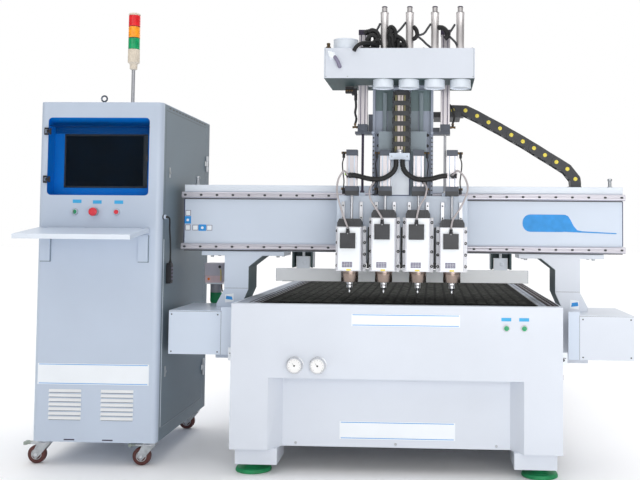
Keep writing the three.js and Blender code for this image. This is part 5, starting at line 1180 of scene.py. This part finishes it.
def make_x_chain():
    """Open plastic cable chain: side plates with a joint at each pivot, and bars across."""
    near, far = X_CHAIN_Y
    links = Piece("x_chain_links", None, chain_grey, 0.9)
    dots = Piece("x_chain_dots", None, yellow, 0.4)
    for i, (a, b) in enumerate(zip(X_CHAIN, X_CHAIN[1:])):
        lean = math.degrees(math.atan2(b[1] - a[1], b[0] - a[0]))
        outline = [around(lean + turn, X_CHAIN_HALF, b) for turn in range(-90, 91, 15)]
        outline += [around(lean + turn, X_CHAIN_HALF, a) for turn in range(90, 271, 15)]
        inset = 0 if i % 2 else 3.2
        for low in (near + inset, far - X_CHAIN_PLATE - inset):
            links.prism("y", outline, (low, low + X_CHAIN_PLATE))
        x, z = (a[0] + b[0]) / 2, (a[1] + b[1]) / 2
        ux, uz = around(lean, 1.0)
        for face in SIDES:
            bar = [(u, face * (X_CHAIN_HALF - v)) for u, v in ((-11, 0), (11, 0), (9, 6), (-9, 6))]
            bar = [(x + ux * u - uz * v, z + uz * u + ux * v) for u, v in bar]
            links.prism("y", bar, (near + 3, far - 3))
        dots.turned("y", a, [(10.5, near + 1), (10.5, near - 1.6), (9, near - 2.4)], 20)
    foot, head = X_CHAIN[-1][0], X_CHAIN[0]
    links.box((foot - 27, foot + 27), (near + 3, far - 3), (1413.6, 1437))
    links.box((foot - 42, foot + 30), (near + 1, far - 1), (1413.6, 1419))
    leads = Piece("x_chain_leads", None, rubber, 0.0)
    for y, offset in ((448, -9), (464, 2), (480, 11)):
        route = [(x, y, z + offset) for x, z in X_CHAIN[:-1]] + [(foot + offset * 0.4, y, 1430)]
        leads.tube(smooth_route(route, 4), 6, 8)
    for piece in (links.over("x_drag_chain"), dots, leads):
        piece.between("gantry", "carriage", (foot, 465, 1413), (head[0], 465, head[1]))
    Piece("x_chain_arm", "carriage", chain_grey).boxes(
        ((236, 330), (424, 500), (1783, 1788.4)), ((239, 262), (424, 428), (1762, 1846)),
        ((171, 236), (298.6, 499), (1786, 1789.6)), ((171, 308.4), (298.4, 300), (1763, 1789.4)),
        ((307, 308.4), (300, 499), (1763, 1789)), ((171, 308), (299, 499), (1762.6, 1763.8)))


def make_z_chain():
    (left, right), (bottom, top) = Z_CHAIN_X, Z_CHAIN_Z
    links = carried("z_chain_links", chain_grey, 0.6, None)
    inserts = carried("z_chain_inserts", cream, 0.4, None)
    # Painted glint: olive strips on the inserts stand for their sheen.
    glints = carried("z_chain_glints", glint_tone, 0.3, None)
    pitch = (top - bottom) / 12.5
    for i in range(12):
        low = bottom + pitch * i + 1
        waist = 3 if i % 2 else 0
        for x in ((left + waist, left + waist + 8), (right - waist - 8, right - waist)):
            links.box(x, (173, 210), (low - 3, low + pitch + 1))
        links.box((left + 6, right - 6), (202, 208), (low, low + pitch * 0.6))
        if i % 2 == 0:
            links.box((left + 6, right - 6), (172.4, 178),
                      (max(bottom, low - pitch * 0.62), low + pitch * 0.32))
            rise = (low + pitch * 0.3, low + pitch * 1.38)
            inserts.box((left + 27, left + 41), (170.6, 177.6), rise)
            inserts.box((left + 45, left + 54), (171, 177.6), rise)
            glints.box((left + 57, left + 66), (171.4, 177.6), rise)
            glints.box((left + 14, left + 24), (171, 177.6), rise)
    links.box((left + 10, right - 10), (184, 192), (bottom + 2, top - 2))
    x = CARRIAGE - 5
    for piece in (links.over("z_drag_chain"), inserts, glints):
        piece.between("carriage", "z_slide", (x, 190, top), (x, 190, bottom))


# The head: rams, cover, hoses, spindles and tools
SPINDLE_PITCH = 164.7
SPINDLE_OUT = [(i - 1.5) * SPINDLE_PITCH for i in range(4)]
BODY_TOP = [1200.0, 1244.0, 1244.0, 1200.0]
RAM_Y, SPINDLE_Y = 170.0, 102
HOSE_Y, HOSE_Z, BRACKET_X = 118.0, 1452.0, -11.5
# Outward and upward distances from the bracket
HOSE_ROUTE = [(16, 78), (16, 54), (22, 30), (42, 6), (78, -14), (120, -19), (160, -14), (198, -4), (223, 0),
              (235, 0)]
# Leads of the spindles as listed points of the bed's frame
LEAD_ROUTES = [
    [(-246, 112, 1452), (-262, 80, 1470), (-286, 62, 1428), (-291, 56, 1367), (-274, 52, 1298),
     (-252, 47, 1236), (-236, 45, 1196)],
    [(-116, 120, 1420), (-132, 92, 1392), (-136, 70, 1364), (-126, 60, 1326), (-98, 52, 1284),
     (-78, 46, 1252), (-71.4, 45, 1238)],
    [(126, 120, 1420), (139, 92, 1396), (140, 70, 1376), (132, 60, 1344), (108, 52, 1302), (97, 46, 1262),
     (93.4, 45, 1238)],
    [(262, 112, 1452), (290, 80, 1474), (326, 62, 1434), (336, 56, 1376), (306, 52, 1300), (268, 47, 1240),
     (258, 45, 1196)],
]


def on_slide(name, look, bevel=0.8):
    return carried(name, look, bevel, "z_slide")


def make_rams():
    sleeves = on_slide("ram_tubes", silver, 0.6)
    top_caps = on_slide("ram_top_caps", slate, 1.2)
    low_caps = on_slide("ram_low_caps", slate, 1.2)
    feet = on_slide("ram_feet", chain_grey, 1.0)
    elbows = on_slide("ram_elbows", brass, 0.3)
    fittings = on_slide("ram_fitting_and_groove_shade", black, 0.5)
    pieces = (sleeves, top_caps, low_caps, feet, elbows, fittings)
    arm = [(6.5, 27.4), (6.5, 34.4), (4.6, 35.4), (4.6, 45.4), (6, 46.4), (6, 52.4)]
    hose = ((41.4, -8, 1540), (47.4, -10, 1510), (43.4, -8, 1462), (39.4, -6, 1426), (41.4, -8, 1394))
    for out, side in zip(SPINDLE_OUT, (-1, -1, 1, 1)):
        for piece in pieces:
            piece.at = Vector((CARRIAGE + out, RAM_Y, 0))
        sleeves.prism("z", four_faced(25.4, 10, 16, 3.0), (1400, 1556))
        # Painted shade: dark strips down the sleeve's grooves.
        for u in (-13, 13):
            fittings.box((u - 1.8, u + 1.8), (-23.6, -22.8), (1401, 1551))
        top_caps.block((0, 0), (27.4, 27.4), (1551, 1581))
        low_caps.box((-32.7, 32.7), (-32.9, 30), (1377, 1400.4))
        feet.box((-32.6, 32.6), (-32.8, 30), (1354.8, 1378))
        for z in (1566, 1388):
            elbows.turned("x", (-8, z), arm, 12, 0, side)
            fittings.turned("z", (side * 41.4, -8), [(5, -26), (7, -24), (7, -8), (5.4, 6)], 12, z)
        fittings.tube(smooth_route([(side * x, y, z) for x, y, z in hose]), 3.2, 8)


def make_cover():
    # Painted highlight: the cover panel in the lighter paint copy.
    on_slide("cover_panel", paint_highlight).box((-59.5, 36.5), (193.6, 195.2), (1361, 1530))
    on_slide("cover_edges", navy, 0.4).boxes(
        ((-62.5, -57.5), (192.8, 196), (1357, 1531)), ((34.5, 39.5), (192.8, 196), (1357, 1531)),
        ((-61.5, 38.5), (193, 196), (1356, 1360)))
    screws = on_slide("bracket_screws", zinc, 0.3)
    for side in SIDES:
        screws.bolt("y", -1, (BRACKET_X + side * 38, 130, 1547), 4, 2.4)
    on_slide("bracket_collar", satin, 0.6).turned(
        "z", (BRACKET_X, 168), [(24, 1564), (24, 1570), (19, 1573), (19, 1582)], 24)
    rails = on_slide("head_guides", satin, 0.6)
    bolts = on_slide("head_guide_bolts", black, 0.2)
    for x in SPINDLE_OUT:
        for side in SIDES:
            u = x + side * 45
            outline = [(u - 9.4, 205), (u - 9.4, 197), (u - 6.6, 195), (u - 9.4, 192.8), (u - 8, 189.6),
                       (u + 8, 189.6), (u + 9.4, 192.8), (u + 6.6, 195), (u + 9.4, 197), (u + 9.4, 205)]
            rails.prism("z", outline, (1039.6, 1325.4))
            for k in range(5):
                bolts.turned("y", (u, 1066 + k * 60), [(4, 190.2), (4, 189.2), (2.4, 189)], 10)
    on_slide("slide_upper_face", slide_shade, 0.3).boxes(
        ((-119, -62), (214.2, 215), (1358, 1679)), ((30, 119), (214.2, 215), (1358, 1679)),
        ((-62, 40), (214.2, 215), (1566, 1679)))


def make_hoses():
    """Ribbed hoses from the bracket to the outer rams."""
    clips = on_slide("hose_clips", zinc, 0.6)
    cuff = [(10, -4), (13.6, -2), (13.6, 9), (10, 11), (10, 16), (12, 17), (12, 22)]
    for side in SIDES:
        name, out = SIDE_NAMES[side], side * 1.5 * SPINDLE_PITCH
        points = [(BRACKET_X + side * u, HOSE_Y, HOSE_Z + up) for u, up in HOSE_ROUTE]
        on_slide(f"ribbed_hose_{name}", rubber, 0.0).tube(smooth_route(points, 10), 13.6, 16, 2.6, 7).over(
            f"hose_{name}")
        on_slide(f"ribbed_hose_cuff_{name}", black, 0.5).turned(
            "x", (HOSE_Y, HOSE_Z), cuff, 16, out, side)
        clips.box((out - 12.4, out + 12.4), (130.6, 145), (1439.6, 1464.4))
    on_slide("hose_union", lime, 0.4).turned(
        "x", (HOSE_Y, 1458), [(7, 22), (7, 30), (5, 31)], 6, SPINDLE_OUT[0], -1)


def make_spindle_leads():
    for i, route in enumerate(LEAD_ROUTES, 1):
        lead = Piece(f"spindle_lead_{i}", None, lead_grey, 0.0).tube(smooth_route(route), 5, 12, 0.8, 5)
        lead.between("z_slide", f"spindle_{i}", route[0], route[-1])
        x, y, z = route[0]
        Piece(f"spindle_lead_clip_{i}", "z_slide", black, 0.4).turned(
            "y", (x, z), [(9, -4), (9, 14), (6, 30)], 12, y)


def make_gap_strips():
    """Painted shade: dark strips on the slide in the gaps between the spindles, where the side plates'
    shadows fall, with dark stops at their feet.
    """
    strips = on_slide("slide_gap_shadow_strips", chain_grey, 0.3)
    stops = on_slide("slide_gap_stops", black)
    for x in (-SPINDLE_PITCH, 0, SPINDLE_PITCH):
        strips.box((x - 4, x + 4), (196, 205), (1022, 1200))
        stops.box((x - 7, x + 7), (188, 206), (996, 1026))


NOSE = [(43, 988.5), (43, 979), (41.6, 978), (41.4, 950), (38, 946), (34, 940), (33, 935), (25, 934.6)]
NOSE_RING = [(42.2, 977.6), (42.2, 966), (41.9, 965), (41.9, 937), (40, 934.3), (24, 934.1)]
COLLET = [(11, 935), (14.6, 932), (15, 924), (13.5, 922), (14.6, 920), (14.6, 908), (12, 905), (10, 900),
          (8, 896), (5.2, 895), (5, 884), (1.5, 880.2)]


def make_spindle(number, out, top):
    def own(name, look, bevel, body="spindle"):
        return carried(f"{name}_{number}", look, bevel, f"{body}_{number}", out)

    own("spindle_front", white, 1.2).box((-52, 52), (51.2, 52.4), (994, top - 6))
    grooves = own("spindle_grooves", grey_plastic, 0.2)
    faces = own("spindle_plate_faces", white, 0.3)
    bolts = own("spindle_bolts", rubber, 0.4)
    guide = own("spindle_carriers", zinc, 0.8)
    for side in SIDES:
        for y in (80, 112):
            grooves.box((side * 59.1, side * 57.5), (y, y + 3), (992, top - 4))
        grooves.box((side * 54.4, side * 55.4), (51.4, 52.6), (992, top - 4))
        faces.box((side * 59.4, side * 74.6), (151.2, 152.2), (982.4, top + 3.6))
        for k in range(4):
            bolts.bolt("y", -1, (side * 67.5, 151.4, 1010 + k * (top - 1030) / 3), 7.4, 9)
        for z in (1072.0, top - 66):
            guide.box((side * 45 - 14.2, side * 45 + 14.2), (168, 189.2), (z - 0.5, z + 50.5))
    cap = own("spindle_cap", chain_grey, 1.4)
    cap.prism("y", [(-59, top - 1), (59, top - 1), (59, top + 20), (49, top + 39.4), (-49, top + 39.4),
                    (-59, top + 20)], (55.4, 134.5))
    for u in range(-44, 45, 11):
        cap.box((u - 2, u + 2), (54, 56), (top + 3, top + 33))
    low = top - 30
    junction = own("spindle_junction", chain_grey, 1.6).boxes(
        ((-42.8, 30.8), (37.6, 52), (low - 73.4, low + 0.4)), ((-36, 24), (36.2, 38), (low - 67, low - 6)))
    for u in (-34, 22):
        for drop in (8.0, 65.0):
            junction.bolt("y", -1, (u, 37.6, low - drop), 3, 1.6)
    own("spindle_gland", black, 0.4).turned(
        "z", (-6, 45), [(9.4, 0), (9.4, 10), (8.2, 11), (8.2, 22), (6.4, 26)], 8, low)
    own("spindle_bare_plate", grey_plastic, 0.3).box((-33, 16), (50.6, 51.6), (1006, 1032))
    rows = own("spindle_plate_rows", white, 0.0)
    for k in range(1, 4):
        rows.box((-32, 15), (50.2, 51.2), (1005.4 + k * 6.5, 1006.6 + k * 6.5))
        rows.box((-34 + k * 12.5, -33 + k * 12.5), (50.2, 51.2), (1007, 1031))
    own("spindle_tag", yellow, 0.3).box((-12, 10), (50.7, 51.7), (990, 998))
    own("ram_rod", satin, 0.3).turned(
        "z", (0, RAM_Y), [(12, top + 4), (12, top + 16), (7.3, top + 18), (7.3, 1413)], 18)
    centre = (0, SPINDLE_Y)
    own("spindle_nose", nose_metal, 0.4).turned("z", centre, NOSE, 44)
    own("spindle_nose_ring", brown_metal, 0.3).turned("z", centre, NOSE_RING, 44)
    collet = own("collet", steel, 0.3, "tool").turned("z", centre, COLLET, 24)
    collet.turned("z", centre, [(15.6, 931), (15.6, 923)], 6).over(f"tool_{number}")


for make in (make_column, make_manifold, make_gates, make_balance, make_x_chain, make_z_chain, make_rams,
             make_cover, make_hoses, make_spindle_leads, make_gap_strips):
    make()
for number, (out, top) in enumerate(zip(SPINDLE_OUT, BODY_TOP), 1):
    make_spindle(number, out, top)


for piece in list(to_make):
    piece.make()
